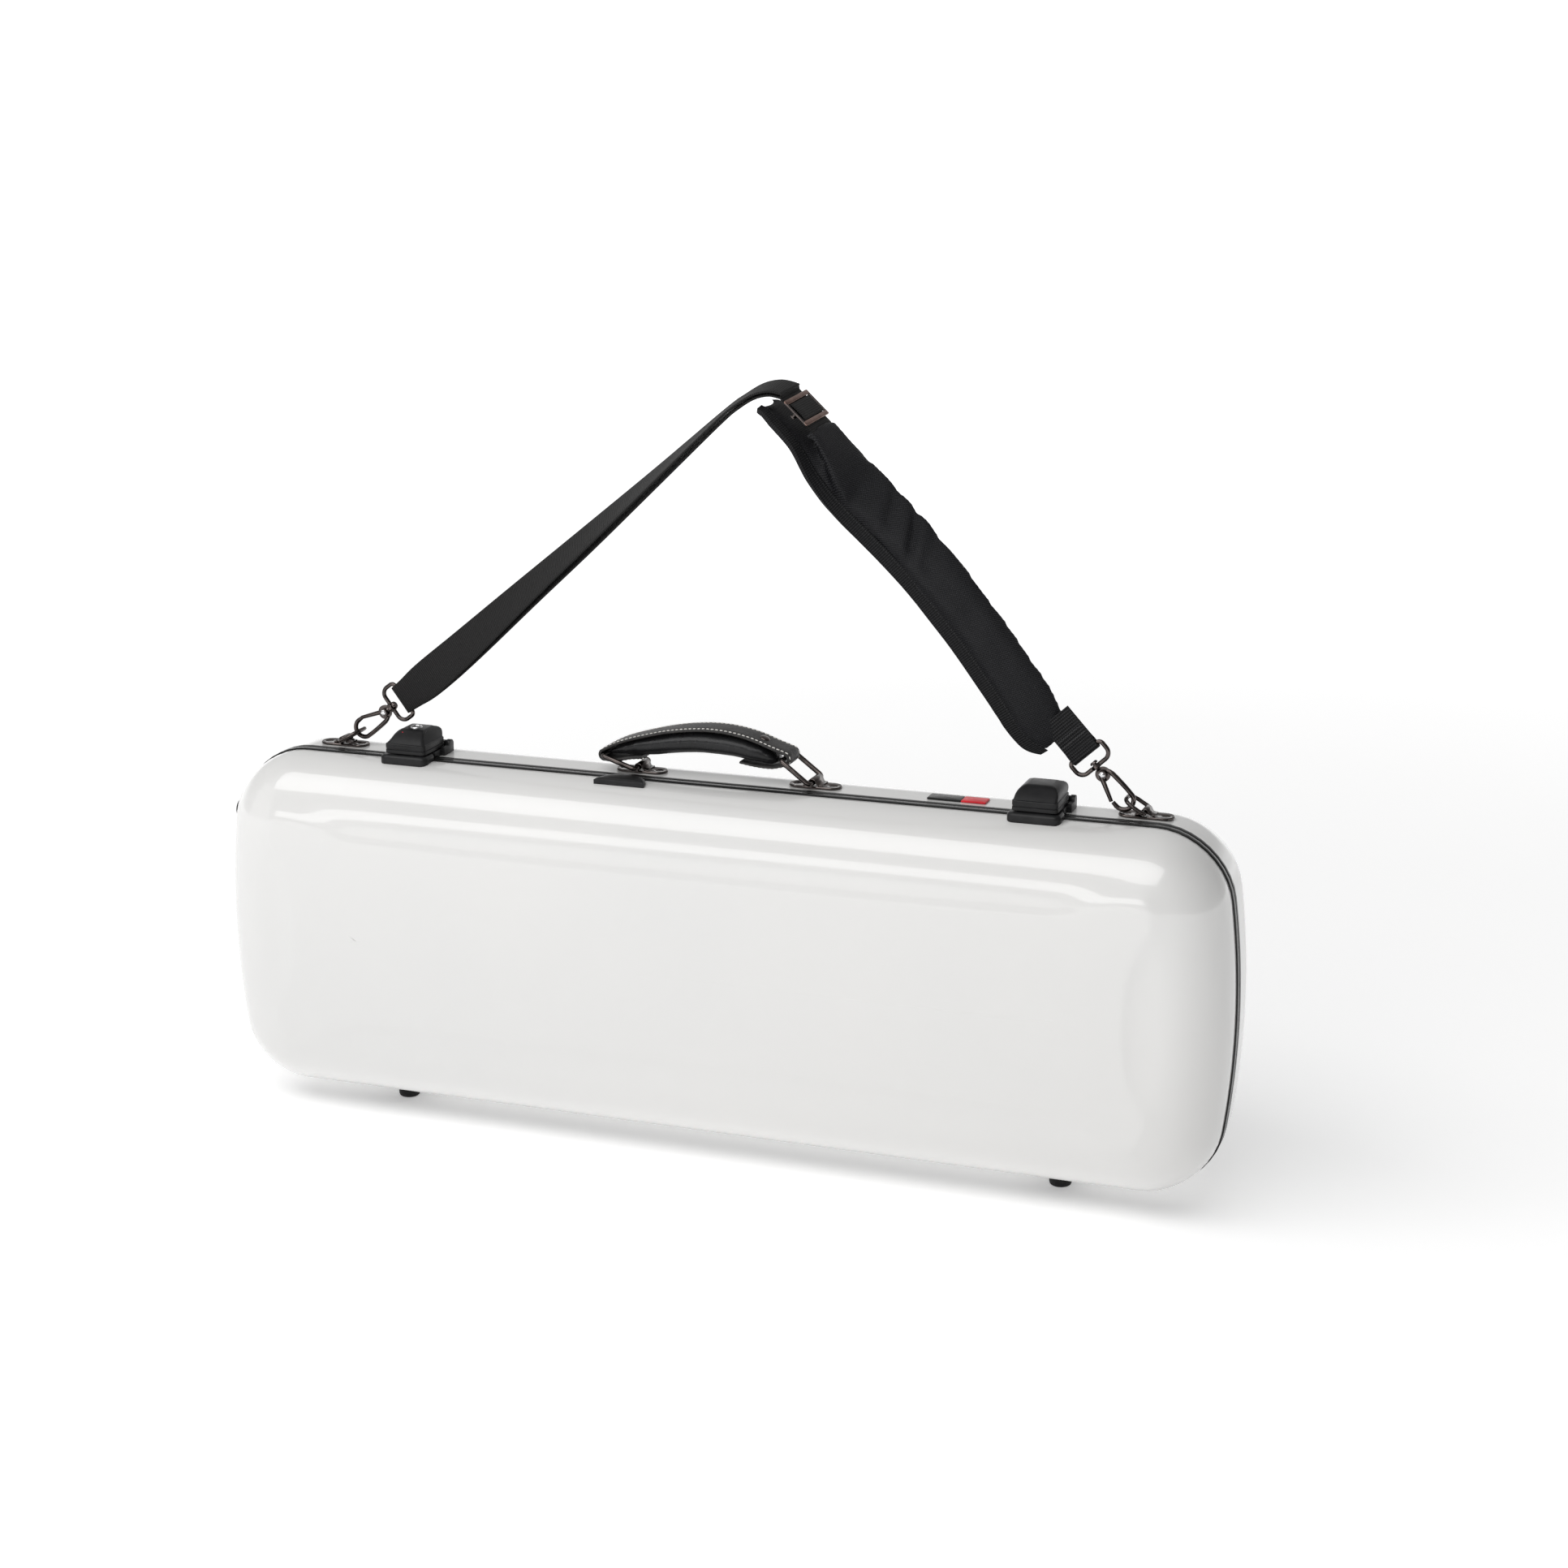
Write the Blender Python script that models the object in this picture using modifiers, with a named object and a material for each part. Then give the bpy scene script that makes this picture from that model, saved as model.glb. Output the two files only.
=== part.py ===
"""An oblong violin case standing on its bottom feet, with its shoulder strap clipped on.

Lengths are millimetres times MM. Everything is first built about the centre of the
seam: X runs along the case, Y from the lid (negative) to the back, Z up. The last step
moves the whole case so that its bounding box is centred over the origin, feet on Z = 0.
"""

import math

import bmesh
import bpy
from mathutils import Matrix, Vector

MM = 0.001
WELD = 0.001 * MM

# Outline of the case at the seam
HALF_LENGTH = 395 * MM
HALF_HEIGHT = 133.7 * MM
CORNER_RADIUS = 48 * MM
END_BOW = 14.5 * MM

# Shells
WALL = 2.5 * MM
BASE_STRAIGHT = 29 * MM
BASE_ROUND = 50 * MM
LID_STRAIGHT = 7.6 * MM
LID_ROUND = 45 * MM
FIELD_RISE = 3 * MM

# Fittings
GAP = 0.3 * MM
TRIM_PROUD = 1.2 * MM
TRIM_HALF = 6 * MM
FOOT_REACH = 18 * MM
HINGE_DROP = 3.8 * MM
HINGE_RADIUS = 2.2 * MM
FITTING_Y = 20.5 * MM
HANDLE_AXIS_RISE = 4.6 * MM
LOOP_LENGTH = 27.5 * MM
RING_AXIS_RISE = 4.3 * MM
RING_LENGTH = 16.5 * MM
HOOK_RADIUS = 7.2 * MM
WEB_THICK = 1.6 * MM

# Where the fittings sit along the case
LOCK_X = 249 * MM
HINGE_LEFT_X = -283 * MM
HINGE_RIGHT_X = 262 * MM
HANDLE_LEFT_X = -62.5 * MM
HANDLE_RIGHT_X = 75 * MM
RING_LEFT_X = -313 * MM
RING_RIGHT_X = 321.5 * MM

# Whole-case placement
SHIFT = Vector((6.1 * MM, -11.7 * MM, HALF_HEIGHT + FOOT_REACH))

COLOURS = {
    "shell": (0.86, 0.86, 0.85, 0.0, 0.18),
    "plastic": (0.02, 0.02, 0.022, 0.0, 0.4),
    "gunmetal": (0.13, 0.12, 0.12, 1.0, 0.28),
    "chrome": (0.7, 0.7, 0.7, 1.0, 0.15),
    "rubber": (0.03, 0.03, 0.03, 0.0, 0.7),
    "leather": (0.025, 0.023, 0.022, 0.0, 0.5),
    "webbing": (0.02, 0.02, 0.02, 0.0, 0.85),
    "lining": (0.06, 0.06, 0.07, 0.0, 0.95),
    "label": (0.25, 0.03, 0.03, 0.0, 0.4),
}


# ---------------------------------------------------------------- scene helpers


def clear_scene():
    for obj in list(bpy.data.objects):
        bpy.data.objects.remove(obj, do_unlink=True)


def material(name):
    found = bpy.data.materials.get(name)
    if found:
        return found
    made = bpy.data.materials.new(name)
    made.use_nodes = True
    red, green, blue, metal, rough = COLOURS[name]
    shader = made.node_tree.nodes["Principled BSDF"]
    shader.inputs["Base Color"].default_value = (red, green, blue, 1)
    shader.inputs["Metallic"].default_value = metal
    shader.inputs["Roughness"].default_value = rough
    return made


clear_scene()
PARTS = bpy.data.collections.new("violin_case")
CUTTERS = bpy.data.collections.new("cutters")
bpy.context.scene.collection.children.link(PARTS)
bpy.context.scene.collection.children.link(CUTTERS)
CUTTERS.hide_render = True


def place(obj, look):
    """Files an object as a part with its material or, with no look, as a hidden cutter."""
    if look is None:
        CUTTERS.objects.link(obj)
        obj.hide_render = True
        obj.display_type = "WIRE"
    else:
        PARTS.objects.link(obj)
        obj.data.materials.append(material(look))
    return obj


def from_mesh(name, mesh, look):
    data = bpy.data.meshes.new(name)
    mesh.to_mesh(data)
    mesh.free()
    return place(bpy.data.objects.new(name, data), look)


def baked(source, look):
    """The evaluated shape of a curve or a modified object, as a plain mesh in its place."""
    bpy.context.scene.collection.objects.link(source)
    graph = bpy.context.evaluated_depsgraph_get()
    data = bpy.data.meshes.new_from_object(source.evaluated_get(graph))
    mesh = bmesh.new()
    mesh.from_mesh(data)
    bpy.data.meshes.remove(data)
    bmesh.ops.remove_doubles(mesh, verts=mesh.verts, dist=WELD)
    bmesh.ops.transform(mesh, matrix=source.matrix_world, verts=mesh.verts)
    bmesh.ops.recalc_face_normals(mesh, faces=mesh.faces)
    name = source.name
    bpy.data.objects.remove(source)
    return from_mesh(name, mesh, look)


def loft(name, rings, look=None, loop=False, caps=(True, True)):
    """A body through unlike rings of points: joined end to end, or with capped ends."""
    mesh = bmesh.new()
    rows = [[mesh.verts.new(Vector(point)) for point in ring] for ring in rings]
    count = len(rows[0])
    following = rows[1:] + rows[:1] if loop else rows[1:]
    for first, second in zip(rows, following):
        for i in range(count):
            j = (i + 1) % count
            mesh.faces.new((first[i], first[j], second[j], second[i]))
    if caps[0] and not loop:
        mesh.faces.new(list(reversed(rows[0])))
    if caps[1] and not loop:
        mesh.faces.new(rows[-1])
    bmesh.ops.recalc_face_normals(mesh, faces=mesh.faces)
    return from_mesh(name, mesh, look)


def thicken(obj, thickness, offset):
    step = obj.modifiers.new("wall", "SOLIDIFY")
    step.thickness = thickness
    step.offset = offset
    step.use_even_offset = True


def bevel(obj, width, segments=1):
    """Rounds the edges that turn sharply, and leaves the steps of an arc alone."""
    step = obj.modifiers.new("edges", "BEVEL")
    step.width = width
    step.segments = segments
    step.limit_method = "ANGLE"
    step.angle_limit = math.radians(50)


def boolean(obj, operation, *others):
    for other in others:
        step = obj.modifiers.new(operation.lower(), "BOOLEAN")
        step.operation = operation
        step.solver = "EXACT"
        step.object = other


def join(obj, *others):
    boolean(obj, "UNION", *others)


def cut(obj, *others):
    boolean(obj, "DIFFERENCE", *others)


def pivot(obj, point):
    """Puts the object's origin on its joint axis and leaves its shape where it is."""
    point = Vector(point)
    for vertex in obj.data.vertices:
        vertex.co -= point
    obj.location = point


# ---------------------------------------------------------------- shape helpers


def turn(angle):
    return math.cos(math.radians(angle)), math.sin(math.radians(angle))


def rounded(x0, x1, y0, y1, radius, steps=3):
    """A rounded rectangle as a loop of (x, y)."""
    loop = []
    corners = ((x1, y1, 0), (x0, y1, 90), (x0, y0, 180), (x1, y0, 270))
    for x, y, start in corners:
        cx = x - radius if x == x1 else x + radius
        cy = y - radius if y == y1 else y + radius
        for i in range(steps + 1):
            c, s = turn(start + 90 * i / steps)
            loop.append((cx + radius * c, cy + radius * s))
    return loop


def stack(name, levels, look=None, steps=3):
    """Rounded rectangles (x0, x1, y0, y1, z, radius) laid one over another in Z."""
    rings = []
    for x0, x1, y0, y1, z, radius in levels:
        rings.append([(x, y, z) for x, y in rounded(x0, x1, y0, y1, radius, steps)])
    return loft(name, rings, look)


def block(name, low, high, look=None):
    low, high = Vector(low), Vector(high)
    matrix = Matrix.Translation((low + high) / 2) @ Matrix.Diagonal((*(high - low), 1))
    mesh = bmesh.new()
    bmesh.ops.create_cube(mesh, size=1, matrix=matrix)
    return from_mesh(name, mesh, look)


def standing(point, direction):
    """The matrix that puts Z along direction, with its origin at point."""
    turned_to = Vector(direction).to_track_quat("Z", "Y").to_matrix().to_4x4()
    return Matrix.Translation(point) @ turned_to


def rod(name, start, end, radius, look=None, sides=16):
    start, end = Vector(start), Vector(end)
    mesh = bmesh.new()
    bmesh.ops.create_cone(
        mesh,
        cap_ends=True,
        segments=sides,
        radius1=radius,
        radius2=radius,
        depth=(end - start).length,
        matrix=standing((start + end) / 2, end - start),
    )
    return from_mesh(name, mesh, look)


def turned(name, start, end, profile, look=None, sides=20):
    """A turned solid; profile holds (share of the way from start to end, radius)."""
    start, end = Vector(start), Vector(end)
    length = (end - start).length
    points = [(0, 0, length)]
    points += [(radius, 0, share * length) for share, radius in reversed(profile)]
    points.append((0, 0, 0))
    data = bpy.data.meshes.new(name)
    data.from_pydata(points, [(i, i + 1) for i in range(len(points) - 1)], [])
    source = bpy.data.objects.new(name, data)
    source.matrix_world = standing(start, end - start)
    screw = source.modifiers.new("turning", "SCREW")
    screw.steps = sides
    screw.render_steps = sides
    screw.use_merge_vertices = True
    screw.merge_threshold = WELD
    return baked(source, look)


def poly_curve(name, dimensions, path, closed, radii=None):
    curve = bpy.data.curves.new(name, "CURVE")
    curve.dimensions = dimensions
    spline = curve.splines.new("POLY")
    spline.points.add(len(path) - 1)
    for i, spot in enumerate(path):
        spline.points[i].co = (*Vector(spot).to_3d(), 1)
        spline.points[i].radius = radii[i] if radii else 1
    spline.use_cyclic_u = closed
    return curve


def wire(name, path, radius, look=None, closed=False):
    """Round wire along a path of points."""
    curve = poly_curve(name, "3D", path, closed)
    curve.bevel_depth = radius
    curve.bevel_resolution = 2
    curve.use_fill_caps = not closed
    return baked(bpy.data.objects.new(name, curve), look)


def upright(y):
    """The matrix that stands a flat (x, z) drawing up at depth y."""
    return Matrix.Translation((0, y, 0)) @ Matrix.Rotation(math.pi / 2, 4, "X")


def plate(name, loop, low, high, look=None):
    """A flat outline in (x, y), extruded from one height to another."""
    curve = poly_curve(name, "2D", loop, True)
    curve.fill_mode = "BOTH"
    curve.extrude = (high - low) / 2
    source = bpy.data.objects.new(name, curve)
    source.matrix_world = Matrix.Translation((0, 0, (low + high) / 2))
    return baked(source, look)


def panel(name, loop, front, back, look=None):
    """A flat outline in (x, z), extruded from one depth to another."""
    curve = poly_curve(name, "2D", loop, True)
    curve.fill_mode = "BOTH"
    curve.extrude = (back - front) / 2
    source = bpy.data.objects.new(name, curve)
    source.matrix_world = upright((front + back) / 2)
    return baked(source, look)


def band(name, rows, half_width, thickness, look=None):
    """A flat strip along (x, z) rows in mm, centred on the fitting line."""
    curve = poly_curve(name, "2D", [(x * MM, z * MM) for x, z in rows], False)
    curve.extrude = half_width
    source = bpy.data.objects.new(name, curve)
    source.matrix_world = upright(FITTING_Y)
    strip = baked(source, look)
    thicken(strip, thickness, 0)
    return strip


def outline(inset):
    """The case outline as a loop of (x, z), moved inwards by inset."""
    half_x = HALF_LENGTH - inset
    half_z = HALF_HEIGHT - inset
    radius = max(CORNER_RADIUS - 0.8 * inset, 6 * MM)
    straight = half_z - radius
    loop = []
    for sx, sz, start in ((1, 1, 0), (-1, 1, 90), (-1, -1, 180), (1, -1, 270)):
        for i in range(8):
            c, s = turn(start + 90 * i / 7)
            loop.append((sx * (half_x - radius) + radius * c, sz * straight + radius * s))
        if sx != sz:
            side = -1 if sz > 0 else 1
            for share in (0.5, 0, -0.5):
                loop.append((side * half_x, -side * share * straight))
    bow = END_BOW / HALF_LENGTH / HALF_HEIGHT**2
    return [(x * (1 - bow * z * z), z) for x, z in loop]


def outline_ring(inset, y):
    return [(x, y, z) for x, z in outline(inset)]


def dome_profile(straight, radius, inner, side, steps=6):
    """(inset, y) down one shell from where its wall starts to turn to its flat face."""
    rows = []
    for i in range(steps + 1):
        c, s = turn(90 * i / steps)
        rows.append((radius - inner * c, side * (straight + inner * s)))
    return rows


def shell(name, start, straight, radius, side):
    """An open tray: a skin from the rim over the round to the flat face, made thick inwards."""
    rows = [(0, side * start)] + dome_profile(straight, radius, radius, side)
    tray = loft(name, [outline_ring(*row) for row in rows], "shell", caps=(False, True))
    thicken(tray, WALL, -1)
    return tray


# ---------------------------------------------------------------- shells and trim

base_shell = shell("base_shell", 1.8 * MM, BASE_STRAIGHT, BASE_ROUND, 1)
lid_shell = shell("lid_shell", 1.8 * MM, LID_STRAIGHT, LID_ROUND, -1)

LID_FACE = LID_STRAIGHT + LID_ROUND
# Right half of the raised field on the lid, from its upper middle to its lower middle
FIELD_EDGE = (
    (0, 77),
    (240, 78),
    (290, 82),
    (330, 104),
    (344, 78),
    (329, 42),
    (326, 0),
    (330, -36),
    (344, -66),
    (326, -96),
    (288, -74),
    (240, -67),
    (0, -65),
)
FIELD_MIDDLE = 7


def field_ring(share, y):
    left = [(-x, z) for x, z in reversed(FIELD_EDGE[1:-1])]
    ring = []
    for x, z in list(FIELD_EDGE) + left:
        height = z * share + FIELD_MIDDLE * (1 - share)
        ring.append((x * share * MM, -y, height * MM))
    return ring


lid_field = loft(
    "lid_field",
    [
        field_ring(0.98, LID_FACE - 1.5 * MM),
        field_ring(0.98, LID_FACE + 0.4 * MM),
        field_ring(0.95, LID_FACE + FIELD_RISE),
    ],
)
join(lid_shell, lid_field)


def trim(name, section):
    """A strip with the given (inset, y) section that runs right round the seam."""
    rings = [outline_ring(inset * MM, y * MM) for inset, y in section]
    return loft(name, rings, "plastic", loop=True)


base_rim = trim(
    "base_rim",
    (
        (-0.7, 0.2),
        (-1.2, 0.7),
        (-1.2, 6),
        (-0.3, 6),
        (-0.3, 1.5),
        (2.8, 1.5),
        (2.8, 7),
        (4.2, 7),
        (4.2, -3.8),
        (3, -3.8),
        (3, 0.2),
    ),
)
lid_rim = trim(
    "lid_rim",
    (
        (-0.7, -0.2),
        (-1.2, -0.7),
        (-1.2, -6),
        (-0.3, -6),
        (-0.3, -1.5),
        (2.6, -1.5),
        (2.6, -0.2),
    ),
)

# The closed case swollen by GAP: it trims whatever is mounted on the outside.
swollen = list(reversed(dome_profile(LID_STRAIGHT, LID_ROUND, LID_ROUND + GAP, -1)))
swollen.append((-GAP, -TRIM_HALF - GAP))
swollen.append((-TRIM_PROUD - GAP, -TRIM_HALF - GAP))
swollen.append((-TRIM_PROUD - GAP, TRIM_HALF + GAP))
swollen.append((-GAP, TRIM_HALF + GAP))
swollen += dome_profile(BASE_STRAIGHT, BASE_ROUND, BASE_ROUND + GAP, 1)
skin = loft("skin_cutter", [outline_ring(*row) for row in swollen])


# ---------------------------------------------------------------- hinges

HINGE_Z = -HALF_HEIGHT - HINGE_DROP
LEAF_TOP = -HALF_HEIGHT - 1.5 * MM
LEAF_LOW = -HALF_HEIGHT - 2.5 * MM


def knuckle(name, x0, x1, side):
    """A hinge knuckle with the web that ties it to its leaf."""
    barrel = rod(name, (x0, 0, HINGE_Z), (x1, 0, HINGE_Z), HINGE_RADIUS)
    near, far = sorted((0, side * 3.2 * MM))
    web = block(name + "_web", (x0, near, HINGE_Z + 0.2 * MM), (x1, far, LEAF_TOP))
    return barrel, web


def hinge(side_name, x):
    half = 20 * MM
    third = 7 * MM
    for part, side in (("base", 1), ("lid", -1)):
        name = f"hinge_{side_name}_{part}_leaf"
        near, far = sorted((side * 2.8 * MM, side * 6.8 * MM))
        low = (x - half, near, LEAF_LOW)
        leaf = block(name, low, (x + half, far, -HALF_HEIGHT + MM), "plastic")
        cut(leaf, skin)
        if side > 0:
            spans = ((x - half, x - third), (x + third, x + half))
        else:
            spans = ((x - third + GAP, x + third - GAP),)
        for i, (x0, x1) in enumerate(spans):
            join(leaf, *knuckle(f"{name}_knuckle_{i}", x0, x1, side))
        bore_ends = ((x - half - MM, 0, HINGE_Z), (x + half + MM, 0, HINGE_Z))
        if side > 0:
            # The pin is pressed into the base leaf and turns inside the lid leaf.
            pin_ends = ((x - half + MM, 0, HINGE_Z), (x + half - MM, 0, HINGE_Z))
            join(leaf, rod(name + "_pin", *pin_ends, 1.0 * MM, sides=12))
        else:
            cut(leaf, rod(name + "_bore", *bore_ends, 1.35 * MM, sides=12))
        pivot(leaf, (x, 0, HINGE_Z))


hinge("left", HINGE_LEFT_X)
hinge("right", HINGE_RIGHT_X)


# ---------------------------------------------------------------- feet

FOOT_PROFILE = ((0, 9.25), (0.55, 9.0), (0.92, 8.2), (1, 7.2))


def foot(name, start, end):
    profile = [(share, radius * MM) for share, radius in FOOT_PROFILE]
    cut(turned(name, start, end, profile, "rubber", sides=18), skin)


FLOOR = -HALF_HEIGHT - FOOT_REACH
END_STOP = -408.4 * MM
for row, y in (("front", 16.5 * MM), ("rear", 45 * MM)):
    for side, x in (("left", -267.5 * MM), ("right", 267.5 * MM)):
        foot(f"foot_{row}_{side}", (x, y, -HALF_HEIGHT + 12 * MM), (x, y, FLOOR))
    for level, z in (("upper", 74 * MM), ("lower", -74 * MM)):
        foot(f"end_foot_{row}_{level}", (-376 * MM, y, z), (END_STOP, y, z))


# ---------------------------------------------------------------- locks

TOP = HALF_HEIGHT
LOCK_AXIS_Y = 24 * MM
LOCK_AXIS_Z = TOP + 6.5 * MM


def levels(x, rows):
    """Rows of (half width, front, rear, height over the case top, radius) in mm."""
    made = []
    for half, y0, y1, z, radius in rows:
        low, high = x - half * MM, x + half * MM
        made.append((low, high, y0 * MM, y1 * MM, TOP + z * MM, radius * MM))
    return made


def lock(side, x):
    keeper_plan = rounded(x - 19.5 * MM, x + 19.5 * MM, -19.5 * MM, -0.8 * MM, 5 * MM)
    keeper_name = f"lock_{side}_keeper"
    keeper = plate(keeper_name, keeper_plan, TOP - 6 * MM, TOP + 5.2 * MM, "plastic")
    bevel(keeper, 1.4 * MM)
    cut(keeper, skin)

    name = f"lock_{side}_base"
    base_plan = rounded(x - 17.4 * MM, x + 17.4 * MM, 0.8 * MM, 19.5 * MM, MM, steps=1)
    base = plate(name, base_plan, TOP - 2 * MM, TOP + 5.2 * MM, "plastic")
    boss_plan = rounded(x - 8 * MM, x + 8 * MM, 4 * MM, 14 * MM, MM, steps=1)
    join(base, plate(name + "_boss", boss_plan, TOP + 4.6 * MM, TOP + 10.5 * MM))
    for end in (-1, 1):
        inner, outer = x + end * 17.2 * MM, x + end * 20.5 * MM
        low = (min(inner, outer), 12 * MM, TOP - MM)
        high = (max(inner, outer), 27.6 * MM, LOCK_AXIS_Z)
        join(base, block(f"{name}_rail_{end}", low, high))
        ear_start = (inner, LOCK_AXIS_Y, LOCK_AXIS_Z)
        ear_end = (outer, LOCK_AXIS_Y, LOCK_AXIS_Z)
        join(base, rod(f"{name}_ear_{end}", ear_start, ear_end, 3.8 * MM))
    pin_start = (x - 19 * MM, LOCK_AXIS_Y, LOCK_AXIS_Z)
    pin_end = (x + 19 * MM, LOCK_AXIS_Y, LOCK_AXIS_Z)
    join(base, rod(name + "_pin", pin_start, pin_end, 1.4 * MM, sides=12))
    cut(base, skin)

    name = f"lock_{side}_cover"
    cover_rows = (
        (16.0, -14.4, 20.6, 5.7, 3),
        (16.7, -15, 21, 6.4, 3),
        (16.7, -15, 21, 12.4, 3),
        (16.1, -14, 20.6, 13.4, 3),
        (13.6, -8.5, 18, 18, 3),
        (10.4, -3, 15.4, 21.3, 3),
        (8.4, 0, 13.4, 22.3, 3),
    )
    cover = stack(name, levels(x, cover_rows), "plastic")
    low = (x - 16 * MM, 18.6 * MM, TOP + 6.6 * MM)
    high = (x + 16 * MM, LOCK_AXIS_Y, TOP + 9.4 * MM)
    barrel_start = (x - 16.6 * MM, LOCK_AXIS_Y, LOCK_AXIS_Z)
    barrel_end = (x + 16.6 * MM, LOCK_AXIS_Y, LOCK_AXIS_Z)
    join(cover, block(name + "_web", low, high))
    join(cover, rod(name + "_barrel", barrel_start, barrel_end, 3.2 * MM))
    pocket_low = (x - 14.2 * MM, -12.4 * MM, TOP)
    pocket_high = (x + 14.2 * MM, 18.4 * MM, TOP + 12.2 * MM)
    cut(cover, block(name + "_pocket", pocket_low, pocket_high))
    bore_start = (x - 18 * MM, LOCK_AXIS_Y, LOCK_AXIS_Z)
    bore_end = (x + 18 * MM, LOCK_AXIS_Y, LOCK_AXIS_Z)
    cut(cover, rod(name + "_bore", bore_start, bore_end, 1.75 * MM, sides=12))
    pivot(cover, (x, LOCK_AXIS_Y, LOCK_AXIS_Z))
    return cover


cover_left = lock("left", -243.5 * MM)
lock("right", LOCK_X)

KEY_X = -243.5 * MM
KEY_Y = 6.7 * MM
key_well_low = (KEY_X, KEY_Y, TOP + 18.6 * MM)
key_well_high = (KEY_X, KEY_Y, TOP + 30 * MM)
cut(cover_left, rod("key_well", key_well_low, key_well_high, 4.9 * MM, sides=16))
key_start = (KEY_X, KEY_Y, TOP + 18.9 * MM)
key_end = (KEY_X, KEY_Y, TOP + 23.4 * MM)
key_cylinder = turned(
    "lock_left_key_cylinder",
    key_start,
    key_end,
    ((0, 4.6 * MM), (0.85, 4.6 * MM), (1, 4.1 * MM)),
    "chrome",
    sides=16,
)
slot_low = (KEY_X - 2.6 * MM, KEY_Y - 0.6 * MM, TOP + 21.4 * MM)
slot_high = (KEY_X + 2.6 * MM, KEY_Y + 0.6 * MM, TOP + 25 * MM)
cut(key_cylinder, block("key_slot", slot_low, slot_high))
pivot(key_cylinder, key_start)


# ---------------------------------------------------------------- pull tab and label


def half_moon(scale, z):
    """A half moon whose round side meets the seam; its straight side is the finger lip."""
    ring = []
    for i in range(13):
        c, s = turn(15 * i)
        ring.append(((-65 + 20 * scale * c) * MM, (-12.8 - 7 * scale + 19 * scale * s) * MM, z))
    return ring


pull_tab = loft(
    "lid_pull_tab",
    [
        half_moon(1, TOP - 5 * MM),
        half_moon(1, TOP + 1.9 * MM),
        half_moon(0.93, TOP + 2.9 * MM),
        half_moon(0.75, TOP + 3.6 * MM),
    ],
    "plastic",
)
cut(pull_tab, skin)

label_plan = rounded(162 * MM, 206 * MM, 13.5 * MM, 26.5 * MM, 1.5 * MM)
label_plate = plate("label_plate", label_plan, TOP + GAP, TOP + 1.5 * MM, "label")
bevel(label_plate, 0.3 * MM)


# ---------------------------------------------------------------- brackets


def bracket(name, x, rise, outer, bore, half_width, holes):
    """A riveted plate whose rolled middle holds a wire bar that lies along Y."""
    y0, y1 = FITTING_Y - 8 * MM, FITTING_Y + 8 * MM
    x0, x1 = x - 20 * MM, x + 20 * MM
    plan = rounded(x0, x1, y0, y1, 7.9 * MM, steps=5)
    base = plate(name, plan, TOP + GAP, TOP + 1.8 * MM, "gunmetal")
    start = (x, FITTING_Y - half_width, TOP + rise)
    end = (x, FITTING_Y + half_width, TOP + rise)
    join(base, rod(name + "_roll", start, end, outer))
    bore_start = (x, FITTING_Y - half_width - MM, TOP + rise)
    bore_end = (x, FITTING_Y + half_width + MM, TOP + rise)
    cut(base, rod(name + "_bore", bore_start, bore_end, bore, sides=12))
    for i, hole in enumerate(holes):
        low = (x + hole * MM, FITTING_Y, TOP - 2 * MM)
        high = (x + hole * MM, FITTING_Y, TOP + 4 * MM)
        cut(base, rod(f"{name}_hole_{i}", low, high, 2.6 * MM, sides=12))


HOLES = (-14, 14)
HANDLE_BAR = 1.9 * MM
for side, x in (("left", HANDLE_LEFT_X), ("right", HANDLE_RIGHT_X)):
    name = f"handle_bracket_{side}"
    bracket(name, x, HANDLE_AXIS_RISE, 3.6 * MM, HANDLE_BAR + 0.35 * MM, 8.6 * MM, HOLES)
for side, x in (("left", RING_LEFT_X), ("right", RING_RIGHT_X)):
    name = f"strap_bracket_{side}"
    bracket(name, x, RING_AXIS_RISE, 3.3 * MM, 1.85 * MM, 6.4 * MM, HOLES)


def tilted_loop(axis, angle, length, half_width, near_radius, far_radius):
    """A closed path that leaves the axis at the given angle over the case top."""
    c, s = turn(angle)
    path = []
    corners = (
        (length, half_width, 0, far_radius),
        (0, half_width, 90, near_radius),
        (0, -half_width, 180, near_radius),
        (length, -half_width, 270, far_radius),
    )
    for u, v, start, radius in corners:
        cu = u - radius if u else u + radius
        cv = v - radius if v > 0 else v + radius
        for i in range(4):
            ca, sa = turn(start + 30 * i)
            along, y = cu + radius * ca, cv + radius * sa
            path.append((axis[0] + along * c, axis[1] + y, axis[2] + along * s))
    return path


def ring_of_wire(name, axis, angle, length, half_width, near, far, radius):
    """A closed wire loop that turns about the side of it on its axis."""
    path = tilted_loop(axis, angle, length, half_width, near, far)
    loop = wire(name, path, radius, "gunmetal", closed=True)
    pivot(loop, axis)


LEFT_LOOP_ANGLE = 162
RIGHT_LOOP_ANGLE = 143
left_axis = (HANDLE_LEFT_X, FITTING_Y, TOP + HANDLE_AXIS_RISE)
right_axis = (HANDLE_RIGHT_X, FITTING_Y, TOP + HANDLE_AXIS_RISE)
handle_loops = (
    ("handle_loop_left", left_axis, LEFT_LOOP_ANGLE),
    ("handle_loop_right", right_axis, RIGHT_LOOP_ANGLE),
)
for name, axis, angle in handle_loops:
    ring_of_wire(name, axis, angle, LOOP_LENGTH, 14.5 * MM, 3 * MM, 3 * MM, HANDLE_BAR)


# ---------------------------------------------------------------- handle


def on_loop(axis, angle, length):
    c, s = turn(angle)
    return Vector((axis[0] + length * c, axis[1], axis[2] + length * s))


GRIP_LEFT = on_loop(left_axis, LEFT_LOOP_ANGLE, LOOP_LENGTH)
GRIP_RIGHT = on_loop(right_axis, RIGHT_LOOP_ANGLE, LOOP_LENGTH)


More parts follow.
